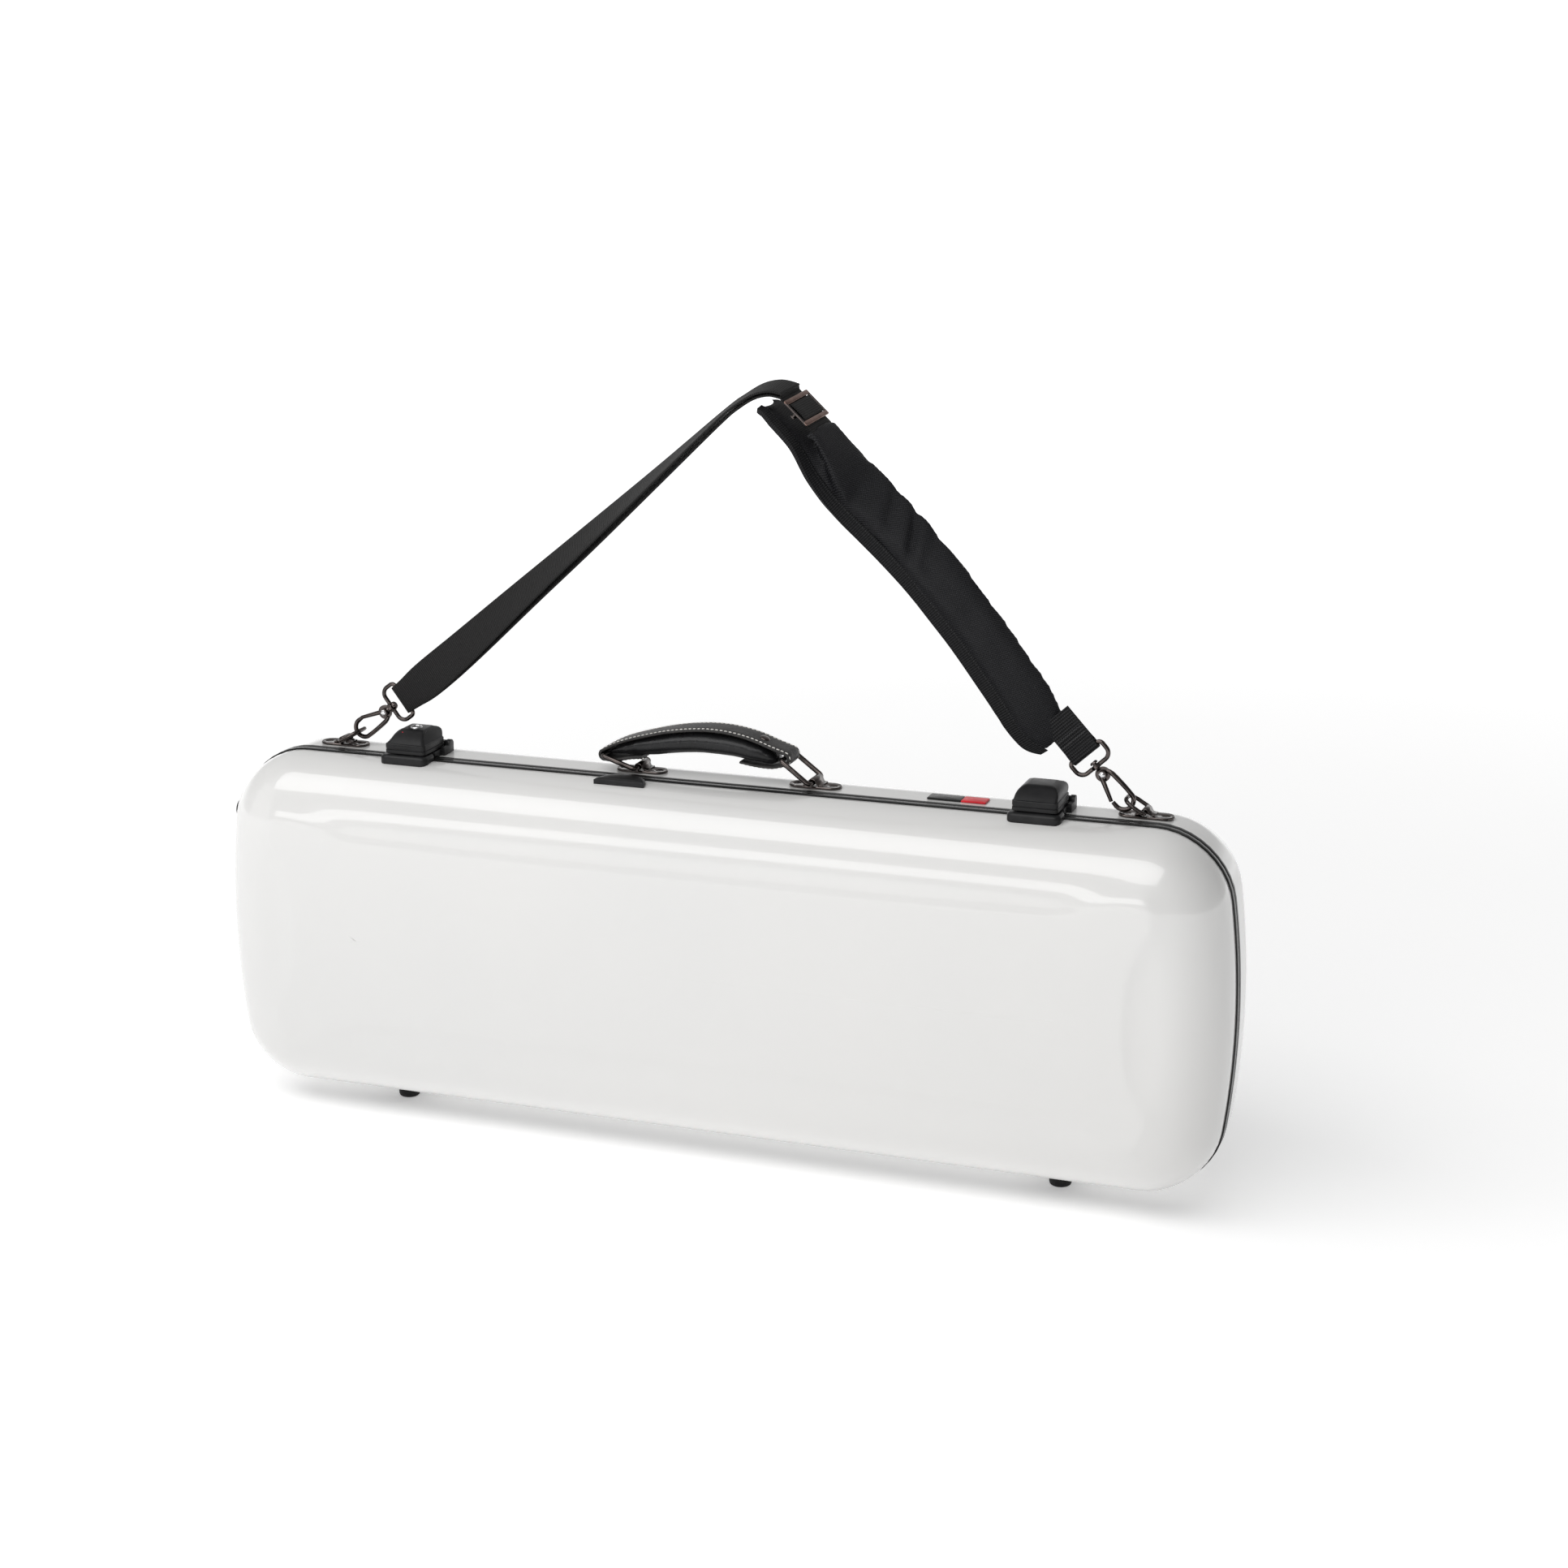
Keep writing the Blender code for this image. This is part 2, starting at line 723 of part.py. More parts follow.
STRAP_TOP = (
    (-88.6, 150.6),
    (-78, 156.2),
    (-60, 162.3),
    (-35, 168.6),
    (-10, 171.8),
    (10, 171.3),
    (28, 168),
    (43, 162.8),
    (53, 159.2),
)
STRAP_TAIL = ((51, 150.2), (43, 147.2), (30, 148.0), (19, 149.6))
handle_strap = band("handle_strap", STRAP_TOP, 12 * MM, 2.4 * MM, "leather")
join(handle_strap, band("handle_strap_tail", STRAP_TAIL, 10 * MM, 1.6 * MM))
EYE_BORE = 2.6 * MM
# The right eye is an oval slot, the slack that lets the three links fold together.
eyes = (("left", GRIP_LEFT, 5.0 * MM, 0), ("right", GRIP_RIGHT, 6.0 * MM, 2.3 * MM))
half_eye = Vector((0, 12 * MM, 0))
for side, centre, radius, _ in eyes:
    eye = rod(f"strap_eye_{side}", centre - half_eye, centre + half_eye, radius)
    join(handle_strap, eye)
for side, centre, _, play in eyes:
    oval = []
    for i in range(16):
        c, s = turn(360 * (i + 0.5) / 16)
        shift = math.copysign(play, c)
        oval.append((centre.x + shift + EYE_BORE * c, centre.z + EYE_BORE * s))
    front, back = FITTING_Y - 14 * MM, FITTING_Y + 14 * MM
    cut(handle_strap, panel(f"strap_eye_bore_{side}", oval, front, back))

# Places (x, z) along the padded roll and its half height there
GRIP_STATIONS = (
    (-74, 151.0, 3.4),
    (-71, 151.4, 5.0),
    (-60, 153.0, 7.2),
    (-35, 158.6, 8.0),
    (-10, 161.5, 8.4),
    (10, 161.0, 8.4),
    (28, 158.2, 7.8),
    (38, 155.6, 6.4),
    (43, 154.4, 4.4),
)
GRIP_FLATNESS = 1.75
grip_path = [(x * MM, 0, z * MM) for x, z, _ in GRIP_STATIONS]
grip_curve = poly_curve(
    "handle_grip", "3D", grip_path, False, [radius for _, _, radius in GRIP_STATIONS]
)
grip_curve.bevel_depth = MM
grip_curve.bevel_resolution = 5
grip_curve.use_fill_caps = True
grip_source = bpy.data.objects.new("handle_grip", grip_curve)
flattened = Matrix.Diagonal((1, GRIP_FLATNESS, 1, 1))
grip_source.matrix_world = Matrix.Translation((0, FITTING_Y, 0)) @ flattened
handle_grip = baked(grip_source, "leather")
handle_rivet = turned(
    "handle_rivet",
    (36 * MM, FITTING_Y, 167.1 * MM),
    (37.2 * MM, FITTING_Y, 169.6 * MM),
    ((0, 4.2 * MM), (0.45, 4.2 * MM), (0.8, 3.2 * MM), (1, 1.6 * MM)),
    "gunmetal",
    sides=14,
)
for moving in (handle_strap, handle_grip, handle_rivet):
    pivot(moving, GRIP_LEFT)


# ---------------------------------------------------------------- D-rings and snap hooks

LEFT_RING_ANGLE = 30
RIGHT_RING_ANGLE = 149
left_ring_axis = Vector((RING_LEFT_X, FITTING_Y, TOP + RING_AXIS_RISE))
right_ring_axis = Vector((RING_RIGHT_X, FITTING_Y, TOP + RING_AXIS_RISE))
d_rings = (
    ("d_ring_left", left_ring_axis, LEFT_RING_ANGLE),
    ("d_ring_right", right_ring_axis, RIGHT_RING_ANGLE),
)
for name, axis, angle in d_rings:
    ring_of_wire(name, axis, angle, RING_LENGTH, 10.5 * MM, 2.2 * MM, 7.5 * MM, 1.5 * MM)


def snap_hook(side, ring_end, down, offset_along, offset_across, gate_side):
    """A swivel snap hook hung on the far side of its D-ring.

    down points from the strap to the ring; gate_side is the sign of the gate across it.
    """
    a = Vector((down[0], 0, down[1])).normalized()
    p = Vector((-a.z, 0, a.x))
    y = Vector((0, 1, 0))
    arc_centre = ring_end - a * offset_along * MM - p * offset_across * MM
    head = arc_centre - a * 23 * MM
    body_side = -gate_side

    def at(along, across, deep=0):
        return head + a * along * MM + p * across * body_side * MM + y * deep * MM

    path = [at(1, 5.4), at(4, 6.2), at(18, 7.2)]
    for i in range(9):
        c, s = turn(22.5 * i)
        path.append(arc_centre + HOOK_RADIUS * (p * body_side * c + a * s))
    path.append(at(19.2, -7.2))
    name = f"hook_{side}_body"
    body = wire(name, path, 1.8 * MM, "gunmetal")
    cheek = ((0, 5.6 * MM), (1, 5.2 * MM))
    join(body, turned(name + "_cheek", at(0, 0, 0.3), at(0, 0, 2.7), cheek))
    join(body, rod(name + "_rivet", at(0, 0, 1.5), at(0, 0, -3.3), 1.2 * MM, sides=10))
    neck = rod(name + "_neck", at(-4.2, 0, 1.4), at(-9.8, 0, 1.4), 1.6 * MM, sides=10)
    join(body, neck)
    button = ((0, 3.0 * MM), (1, 2.4 * MM))
    join(body, turned(name + "_button", at(-9.6, 0, 1.4), at(-11.4, 0, 1.4), button, sides=12))

    name = f"hook_{side}_gate"
    gate = rod(name, at(0, 0, -2.7), at(0, 0, -0.3), 3.1 * MM, "gunmetal")
    finger = rod(name + "_rod", at(1.5, -1.6, -1.5), at(18.4, -7.2, -1.5), 1.15 * MM, sides=10)
    join(gate, finger)
    cut(gate, rod(name + "_bore", at(0, 0, -4), at(0, 0, 1), 1.55 * MM, sides=12))
    pivot(gate, head)

    name = f"hook_{side}_eye"
    centre = at(-7.3, 0, 1.4)
    frame_path = []
    corners = ((0, 1, 90, 6), (-13, 1, 0, 3), (-13, -1, 270, 3), (0, -1, 180, 6))
    for along, sign, start, radius in corners:
        ca = along + radius if along else along - radius
        cp = sign * (14.5 - radius)
        for i in range(4):
            c, s = turn(start - 30 * i)
            step = a * (ca + radius * s) + p * (cp + radius * c)
            frame_path.append(centre + step * MM)
    eye = wire(name, frame_path, 1.7 * MM, "gunmetal", closed=True)
    collar_ends = (centre + a * 1.7 * MM, centre - a * 1.6 * MM)
    join(eye, rod(name + "_collar", *collar_ends, 3.9 * MM, sides=16))
    bore_ends = (centre + a * 4 * MM, centre - a * 4 * MM)
    cut(eye, rod(name + "_bore", *bore_ends, 1.95 * MM, sides=12))
    pivot(body, centre)
    return centre - a * 13 * MM, a, p


left_ring_end = on_loop(left_ring_axis, LEFT_RING_ANGLE, RING_LENGTH)
right_ring_end = on_loop(right_ring_axis, RIGHT_RING_ANGLE, RING_LENGTH)
left_bar, left_down, left_across = snap_hook("left", left_ring_end, (-0.8, -0.6), 3.0, 0, -1)
right_bar, right_down, right_across = snap_hook(
    "right", right_ring_end, (0.676, -0.737), 0.4, 3.2, -1
)


# ---------------------------------------------------------------- shoulder strap

SWIVEL_Y = FITTING_Y + 1.4 * MM


def ribbon_frame(rows, i):
    """Position, direction, width direction and outer normal at one row of a ribbon.

    A row starts (x, z, twist): at twist 0 the broad face looks to the front, at 90 it
    looks away from the case.
    """
    before = rows[max(i - 1, 0)]
    after = rows[min(i + 1, len(rows) - 1)]
    along = Vector((after[0] - before[0], 0, after[1] - before[1])).normalized()
    c, s = turn(rows[i][2])
    width = Vector((-along.z * c, s, along.x * c))
    centre = Vector((rows[i][0] * MM, SWIVEL_Y, rows[i][1] * MM))
    return centre, along, width, along.cross(width)


def eased(rows, steps):
    """The rows with steps in between, on a smooth curve through them all."""
    made = []
    for i in range(len(rows) - 1):
        p0, p1 = rows[max(i - 1, 0)], rows[i]
        p2, p3 = rows[i + 1], rows[min(i + 2, len(rows) - 1)]
        for k in range(steps):
            t = k / steps
            made.append([smooth(*values, t) for values in zip(p0, p1, p2, p3)])
    made.append(list(rows[-1]))
    return made


def smooth(a, b, c, d, t):
    """The Catmull-Rom value at share t from b to c."""
    slope_b, slope_c = (c - a) / 2, (d - b) / 2
    cubic = 2 * (b - c) + slope_b + slope_c
    square = 3 * (c - b) - 2 * slope_b - slope_c
    return ((cubic * t + square) * t + slope_b) * t + b


def strip_ring(centre, width, normal):
    """The section of a strip, with points across it so that a twist stays smooth."""
    lift = normal * WEB_THICK / 2
    shares = (-1, -0.5, 0, 0.5, 1)
    lower = [centre + width * share - lift for share in shares]
    upper = [centre + width * share + lift for share in reversed(shares)]
    return lower + upper


def folded_strip(rows, outer_stop):
    """Rings of one strip folded round the bar at the first row, both ends at the last.

    Each row ends (half width, half gap between the layers). The outer layer stops short
    by outer_stop rows.
    """
    outer, inner = [], []
    for i, row in enumerate(rows):
        centre, _, width, normal = ribbon_frame(rows, i)
        width, offset = width * row[3] * MM, normal * row[4] * MM
        outer.append(strip_ring(centre + offset, width, normal))
        inner.append(strip_ring(centre - offset, width, -normal))
    centre, along, width, normal = ribbon_frame(rows, 0)
    fold = []
    for i in range(1, 6):
        c, s = turn(30 * i)
        facing = normal * c - along * s
        around = centre + facing * rows[0][4] * MM
        fold.append(strip_ring(around, width * rows[0][3] * MM, facing))
    stop = len(outer) - outer_stop
    return list(reversed(outer[:stop])) + fold + inner


def mm(vector):
    return vector.x / MM, vector.z / MM


BAR_WRAP = 2.85
ADJUSTER = Vector((67, 0, 410.6)) * MM
ADJUSTER_DOWN = Vector((0.728, 0, -0.685)).normalized()
run_start = mm(ADJUSTER - 17 * MM * ADJUSTER_DOWN)
run_end = mm(ADJUSTER + 17 * MM * ADJUSTER_DOWN)
tail_end = mm(ADJUSTER + 27 * MM * ADJUSTER_DOWN + Vector((-2.5, 0, -2.5)) * MM)
left_bar_xz = mm(left_bar)
left_next_xz = mm(left_bar - left_down * 8 * MM)
WEB_START = (
    (*left_bar_xz, 0, 11.7, BAR_WRAP),
    (*left_next_xz, 2, 12.5, 2.5),
    (-241, 190, 6, 14.4, 2),
    (-209, 216.3, 24, 15, 2),
    (-153.4, 264.4, 44, 15, 2.2),
    (-99.4, 310.8, 57, 15, 2.2),
    (-46.9, 356.8, 69, 15, 2),
    (4, 402, 78, 15, 1.7),
    (19, 413.6, 80, 15, 1.5),
    (32, 421.3, 80, 15, 1.4),
    (44, 424, 80, 15, 1.4),
    (*run_start, 80, 15, 1.4),
)
# Past the adjuster only the inner layer goes on, down to the pad.
WEB_TAIL = ((*run_end, 80, 15, 1.4), (*tail_end, 80, 14.5, 1.4))
web_rows = eased(WEB_START, 3) + list(WEB_TAIL)
loft("strap_webbing", folded_strip(web_rows, len(WEB_TAIL)), "webbing")

# The inner layer runs under both end bars of the adjuster and over its middle bar.
twist_c, twist_s = turn(80)
adjuster_width = Vector((-ADJUSTER_DOWN.z * twist_c, twist_s, ADJUSTER_DOWN.x * twist_c))
adjuster_normal = ADJUSTER_DOWN.cross(adjuster_width)
adjuster_centre = Vector((ADJUSTER.x, SWIVEL_Y, ADJUSTER.z)) - adjuster_normal * 1.4 * MM


ADJUSTER_AXES = Matrix((ADJUSTER_DOWN, adjuster_width, adjuster_normal)).transposed()
ADJUSTER_FRAME = Matrix.Translation(adjuster_centre) @ ADJUSTER_AXES.to_4x4()


def adjuster_box(name, low, high, look=None):
    """A box in the adjuster's own axes (along the strap, across it, away from the pad)."""
    box = block(name, Vector(low) * MM, Vector(high) * MM, look)
    box.data.transform(ADJUSTER_FRAME)
    return box


adjuster = adjuster_box("strap_adjuster", (-12, -18.6, -2.9), (12, 18.6, 2.9), "gunmetal")
cut(
    adjuster,
    adjuster_box("adjuster_window_upper", (-13, -16.2, -4), (-2, 16.2, 1.15)),
    adjuster_box("adjuster_window_lower", (2, -16.2, -4), (13, 16.2, 1.15)),
    adjuster_box("adjuster_slot", (-9, -16.2, -1.15), (9, 16.2, 4)),
)
pivot(adjuster, adjuster_centre)

# Rows of the pad: x, z, twist, half width, half thickness
PAD_ROWS = (
    (34, 412, 80, 13, 1.8),
    (43, 409.5, 80, 19, 3.6),
    (54, 401.5, 79, 23, 5.4),
    (69, 387.5, 76, 24, 6.2),
    (86, 370.5, 57, 25, 7),
    (108, 351.5, 32, 25, 7),
    (147, 314, 14, 23.5, 7),
    (190, 265.5, 12, 23, 7),
    (225, 219.5, 12, 23, 6.4),
    (238, 199.5, 12, 22, 5.6),
    (247, 185.5, 12, 18, 4.8),
    (252.5, 177, 12, 9, 3.2),
)
PAD_SECTION = ((-1, -0.4), (-0.85, -1), (0, -1.1), (0.85, -1), (1, -0.4))
pad_rings = []
for i in range(len(PAD_ROWS)):
    centre, _, width, normal = ribbon_frame(PAD_ROWS, i)
    half, thick = PAD_ROWS[i][3] * MM, PAD_ROWS[i][4] * MM
    ring = []
    for across, high in PAD_SECTION + tuple((-u, -v) for u, v in PAD_SECTION):
        ring.append(centre + width * across * half + normal * high * thick)
    pad_rings.append(ring)
shoulder_pad = loft("shoulder_pad", pad_rings, "webbing")

END_WEB_ROWS = (
    (*mm(right_bar), 0, 11.7, BAR_WRAP),
    (*mm(right_bar - right_down * 9 * MM), 0, 12, 1.3),
    (*mm(right_bar - right_down * 33 * MM), 0, 12, 1.3),
)
loft("end_webbing", folded_strip(END_WEB_ROWS, 0), "webbing")

# The pad's lower end is sewn round this webbing, so it has a pocket that the strip fits.
pocket = block("pad_pocket", (9 * MM, -12.3 * MM, -2.4 * MM), (33.3 * MM, 12.3 * MM, 2.4 * MM))
pocket_axes = Matrix((-right_down, right_across, (-right_down).cross(right_across))).transposed()
pocket.data.transform(Matrix.Translation(right_bar) @ pocket_axes.to_4x4())
cut(shoulder_pad, pocket)


# ---------------------------------------------------------------- interior

BED_FRONT = 8 * MM
bed_rows = [(3 * MM, BED_FRONT)]
bed_rows += dome_profile(BASE_STRAIGHT, BASE_ROUND, BASE_ROUND - 3 * MM, 1)
bed = loft("suspension_bed", [outline_ring(*row) for row in bed_rows], "lining")

# Half of the recess for the instrument, from its lower end to the head of the neck
RECESS = (
    (-373, 42),
    (-362, 76),
    (-336, 100),
    (-300, 109),
    (-262, 101),
    (-238, 84),
    (-215, 66),
    (-190, 60),
    (-160, 63),
    (-135, 74),
    (-108, 86),
    (-80, 87),
    (-50, 74),
    (-30, 54),
    (-16, 27),
    (118, 27),
    (130, 36),
    (214, 36),
    (226, 24),
)
recess_loop = [(x * MM, z * MM) for x, z in RECESS]
recess_loop += [(x, -z) for x, z in reversed(recess_loop)]
recess = panel("instrument_recess", recess_loop, 0, 58 * MM)


def well(name, x0, x1, z0, z1, depth, radius):
    loop = rounded(x0 * MM, x1 * MM, z0 * MM, z1 * MM, radius * MM)
    return panel(name, loop, 0, depth * MM)


cut(
    bed,
    recess,
    well("large_well", 244, 360, -104, 104, 60, 14),
    well("small_well", 40, 122, 60, 106, 48, 6),
)

rest_low = (62 * MM, 30 * MM, -26.6 * MM)
rest_high = (88 * MM, 57.6 * MM, 26.6 * MM)
rest = block("neck_rest", rest_low, rest_high, "lining")
cut(rest, rod("neck_groove", (60 * MM, 26 * MM, 0), (90 * MM, 26 * MM, 0), 19 * MM))
block("neck_strap", (66 * MM, 5.8 * MM, -42 * MM), (84 * MM, 7.6 * MM, 42 * MM), "webbing")

WELL_HINGE_Z = 108 * MM
WELL_HINGE_Y = 5.6 * MM
well_lid_plan = rounded(37 * MM, 125 * MM, 72 * MM, 106.5 * MM, 4 * MM)
well_lid = panel("small_well_lid", well_lid_plan, 4.4 * MM, 7.6 * MM, "lining")
barrel_start = (44 * MM, WELL_HINGE_Y, WELL_HINGE_Z)
barrel_end = (118 * MM, WELL_HINGE_Y, WELL_HINGE_Z)
join(well_lid, rod("small_well_lid_barrel", barrel_start, barrel_end, 1.9 * MM, sides=12))
knob_start = (81 * MM, 5 * MM, 78 * MM)
knob_end = (81 * MM, -1 * MM, 78 * MM)
join(well_lid, rod("small_well_lid_knob", knob_start, knob_end, 4 * MM, sides=12))
pivot(well_lid, barrel_start)

lining_rows = (
    (21.6 * MM, -42 * MM),
    (28.4 * MM, -46 * MM),
    (35.6 * MM, -48.6 * MM),
)
loft("lid_lining", [outline_ring(*row) for row in lining_rows], "lining")

for level, z in (("upper", 50 * MM), ("lower", -50 * MM)):
    name = f"bow_clip_{level}"
    x = 292 * MM
    clip = turned(
        name,
        (x, -41.6 * MM, z),
        (x, -29 * MM, z),
        ((0, 7 * MM), (0.2, 7 * MM), (0.3, 4 * MM), (1, 4 * MM)),
        "plastic",
        sides=14,
    )
    tab_low = (x - 16 * MM, -31 * MM, z - 4.5 * MM)
    tab_high = (x + 16 * MM, -27 * MM, z + 4.5 * MM)
    join(clip, block(name + "_tab", tab_low, tab_high))
    pivot(clip, (x, -41.6 * MM, z))

    name = f"bow_tip_pocket_{level}"
    low = (-345 * MM, -41.6 * MM, z - 14 * MM)
    high = (-285 * MM, -28 * MM, z + 14 * MM)
    pocket = block(name, low, high, "lining")
    hollow_low = (-341 * MM, -39 * MM, z - 11 * MM)
    hollow_high = (-280 * MM, -31 * MM, z + 11 * MM)
    cut(pocket, block(name + "_hollow", hollow_low, hollow_high))


# ---------------------------------------------------------------- shading and placement

for obj in list(PARTS.objects) + list(CUTTERS.objects):
    obj.data.shade_smooth()
    obj.data.set_sharp_from_angle(angle=math.radians(35))
    obj.location += SHIFT
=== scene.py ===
"""Looks of the violin case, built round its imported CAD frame.

Shapes are drawn in the case's own millimetres (X along the case, Y from the lid to the
back, Z up, zero at the middle of the seam) and placed by the matrix PLACE, which is read
from the frame.
"""

import math

import bmesh
import bpy
from mathutils import Matrix, Vector, noise


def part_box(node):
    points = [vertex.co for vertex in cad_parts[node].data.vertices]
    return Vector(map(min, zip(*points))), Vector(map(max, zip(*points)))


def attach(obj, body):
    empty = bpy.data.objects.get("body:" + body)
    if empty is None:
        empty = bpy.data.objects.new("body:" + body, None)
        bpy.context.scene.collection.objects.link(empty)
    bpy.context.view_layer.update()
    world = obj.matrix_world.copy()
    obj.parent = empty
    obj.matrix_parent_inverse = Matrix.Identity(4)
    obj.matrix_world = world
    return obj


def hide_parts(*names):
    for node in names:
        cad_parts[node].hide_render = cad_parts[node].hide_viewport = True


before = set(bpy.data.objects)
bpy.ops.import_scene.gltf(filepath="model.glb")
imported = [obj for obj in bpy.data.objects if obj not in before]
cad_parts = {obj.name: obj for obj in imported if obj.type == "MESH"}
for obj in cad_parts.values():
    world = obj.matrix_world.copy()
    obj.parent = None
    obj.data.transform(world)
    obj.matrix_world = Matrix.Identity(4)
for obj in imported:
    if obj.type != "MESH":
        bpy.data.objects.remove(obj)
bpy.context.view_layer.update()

MM = 0.001
TRIM_PROUD = 1.2
RIM_LOW, RIM_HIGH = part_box("base_rim")
SEAM_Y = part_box("lid_rim")[1].y + 0.2 * MM
CENTRE = Vector(((RIM_LOW.x + RIM_HIGH.x) / 2, SEAM_Y, (RIM_LOW.z + RIM_HIGH.z) / 2))
PLACE = Matrix.Translation(CENTRE) @ Matrix.Diagonal((MM, MM, MM, 1))
HALF_LENGTH = (RIM_HIGH.x - RIM_LOW.x) / 2 / MM - TRIM_PROUD
HALF_HEIGHT = (RIM_HIGH.z - RIM_LOW.z) / 2 / MM - TRIM_PROUD
TOP = HALF_HEIGHT
END_BOW = 14.5
CORNER_RADIUS = 48
WALL = 2.5
LID_STRAIGHT, LID_ROUND = 7.6, 45
BASE_STRAIGHT, BASE_ROUND = 29, 50
FITTING_Y = 20.5
SWIVEL_Y = 21.9


def in_case(point):
    """A point of the row frame, in the case's own millimetres."""
    return (Vector(point) - CENTRE) / MM


def node_span(node):
    """The lowest and highest corner of a CAD node, in the case's own millimetres."""
    low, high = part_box(node)
    return in_case(low), in_case(high)


def middle_x(node):
    low, high = node_span(node)
    return (low.x + high.x) / 2


# ---------------------------------------------------------------- materials

MATERIALS = {}


def shader_of(name, colour, roughness, metallic=0.0):
    made = bpy.data.materials.new("look_" + name)
    made.use_nodes = True
    shader = made.node_tree.nodes["Principled BSDF"]
    set_inputs(shader, Base_Color=(*colour, 1), Roughness=roughness, Metallic=metallic)
    MATERIALS[name] = made
    return made.node_tree, shader


def set_inputs(node, **inputs):
    for socket, value in inputs.items():
        node.inputs[socket.replace("_", " ")].default_value = value


def new_node(tree, kind, **inputs):
    node = tree.nodes.new("ShaderNode" + kind)
    set_inputs(node, **inputs)
    return node


def coordinates(tree, kind="Object"):
    return tree.nodes.new("ShaderNodeTexCoord").outputs[kind]


def noise_at(tree, scale, detail=3.0, source=None):
    made = new_node(tree, "TexNoise", Scale=scale, Detail=detail)
    tree.links.new(source or coordinates(tree), made.inputs["Vector"])
    return made.outputs["Fac"]


def ramp(tree, value, low, high, span=(0.3, 0.7)):
    """A colour between low and high as value goes over span."""
    made = tree.nodes.new("ShaderNodeValToRGB")
    made.color_ramp.elements[0].position = span[0]
    made.color_ramp.elements[1].position = span[1]
    made.color_ramp.elements[0].color = (*low, 1)
    made.color_ramp.elements[1].color = (*high, 1)
    tree.links.new(value, made.inputs["Fac"])
    return made.outputs["Color"]


def level(tree, value, low, high, start=0.0, end=1.0, course="LINEAR"):
    """A number that goes from low to high as value goes from start to end."""
    made = tree.nodes.new("ShaderNodeMapRange")
    made.interpolation_type = course
    for socket, number in zip(made.inputs[1:5], (start, end, low, high)):
        socket.default_value = number
    tree.links.new(value, made.inputs["Value"])
    return made.outputs["Result"]


def maths(tree, operation, a, b=None):
    made = tree.nodes.new("ShaderNodeMath")
    made.operation = operation
    for socket, value in zip(made.inputs, (a, b)):
        if isinstance(value, (int, float)):
            socket.default_value = value
        elif value is not None:
            tree.links.new(value, socket)
    return made.outputs[0]


def bump(tree, shader, height, strength, distance, before=None):
    made = new_node(tree, "Bump", Strength=strength, Distance=distance)
    tree.links.new(height, made.inputs["Height"])
    if before is not None:
        tree.links.new(before.outputs["Normal"], made.inputs["Normal"])
    tree.links.new(made.outputs["Normal"], shader.inputs["Normal"])
    return made


def mottle(tree, shader, tone, roughness=None):
    """Noise in the colour and the roughness, each given as (scale, detail, low, high)."""
    scale, detail, low, high = tone
    colour = ramp(tree, noise_at(tree, scale, detail), low, high)
    tree.links.new(colour, shader.inputs["Base Color"])
    if roughness:
        scale, detail, low, high = roughness
        gloss = level(tree, noise_at(tree, scale, detail), low, high)
        tree.links.new(gloss, shader.inputs["Roughness"])


def shell_look():
    tree, shader = shader_of("shell", (0.68, 0.68, 0.67), 0.32)
    set_inputs(shader, Coat_Weight=1.0, Coat_Roughness=0.06, Coat_IOR=1.5)
    mottle(tree, shader, (3.2, 2, (0.67, 0.668, 0.66), (0.70, 0.693, 0.68)), (22, 3, 0.26, 0.38))
    bump(tree, shader, noise_at(tree, 60, 2), 0.05, 0.0002)


def plastic_look(name, colour, low, high):
    """Moulded plastic with a fine spark-eroded grain and slightly polished patches."""
    tree, shader = shader_of(name, colour, (low + high) / 2)
    worn = tuple(channel * 1.5 + 0.004 for channel in colour)
    mottle(tree, shader, (90, 4, colour, worn), (160, 4, low, high))
    bump(tree, shader, noise_at(tree, 2600, 2), 0.12, 0.0002)
    set_inputs(shader, Specular_IOR_Level=0.22)


def metal_look(name, dark, light, low, high, scratch=0.06):
    tree, shader = shader_of(name, dark, (low + high) / 2, 1.0)
    mottle(tree, shader, (130, 4, dark, light), (420, 5, low, high))
    bump(tree, shader, noise_at(tree, 800, 4), scratch, 0.0002)


def leather_look(name, dark, light, low, high, grain, depth):
    tree, shader = shader_of(name, dark, (low + high) / 2)
    cells = new_node(tree, "TexVoronoi", Scale=grain)
    cells.feature = "SMOOTH_F1"
    tree.links.new(coordinates(tree), cells.inputs["Vector"])
    mottle(tree, shader, (60, 5, dark, light), (240, 3, low, high))
    creases = bump(tree, shader, noise_at(tree, 55, 4), 0.35, 0.0012)
    bump(tree, shader, cells.outputs["Distance"], depth, 0.0006, creases)
    set_inputs(shader, Sheen_Weight=0.03, Specular_IOR_Level=0.3)


def wave(tree, source, axis, pitch):
    """Ridges square to one axis of the source, one for each pitch in metres."""
    made = tree.nodes.new("ShaderNodeSeparateXYZ")
    tree.links.new(source, made.inputs[0])
    turns = maths(tree, "MULTIPLY", made.outputs[axis], 2 * math.pi / pitch)
    return maths(tree, "SINE", turns)


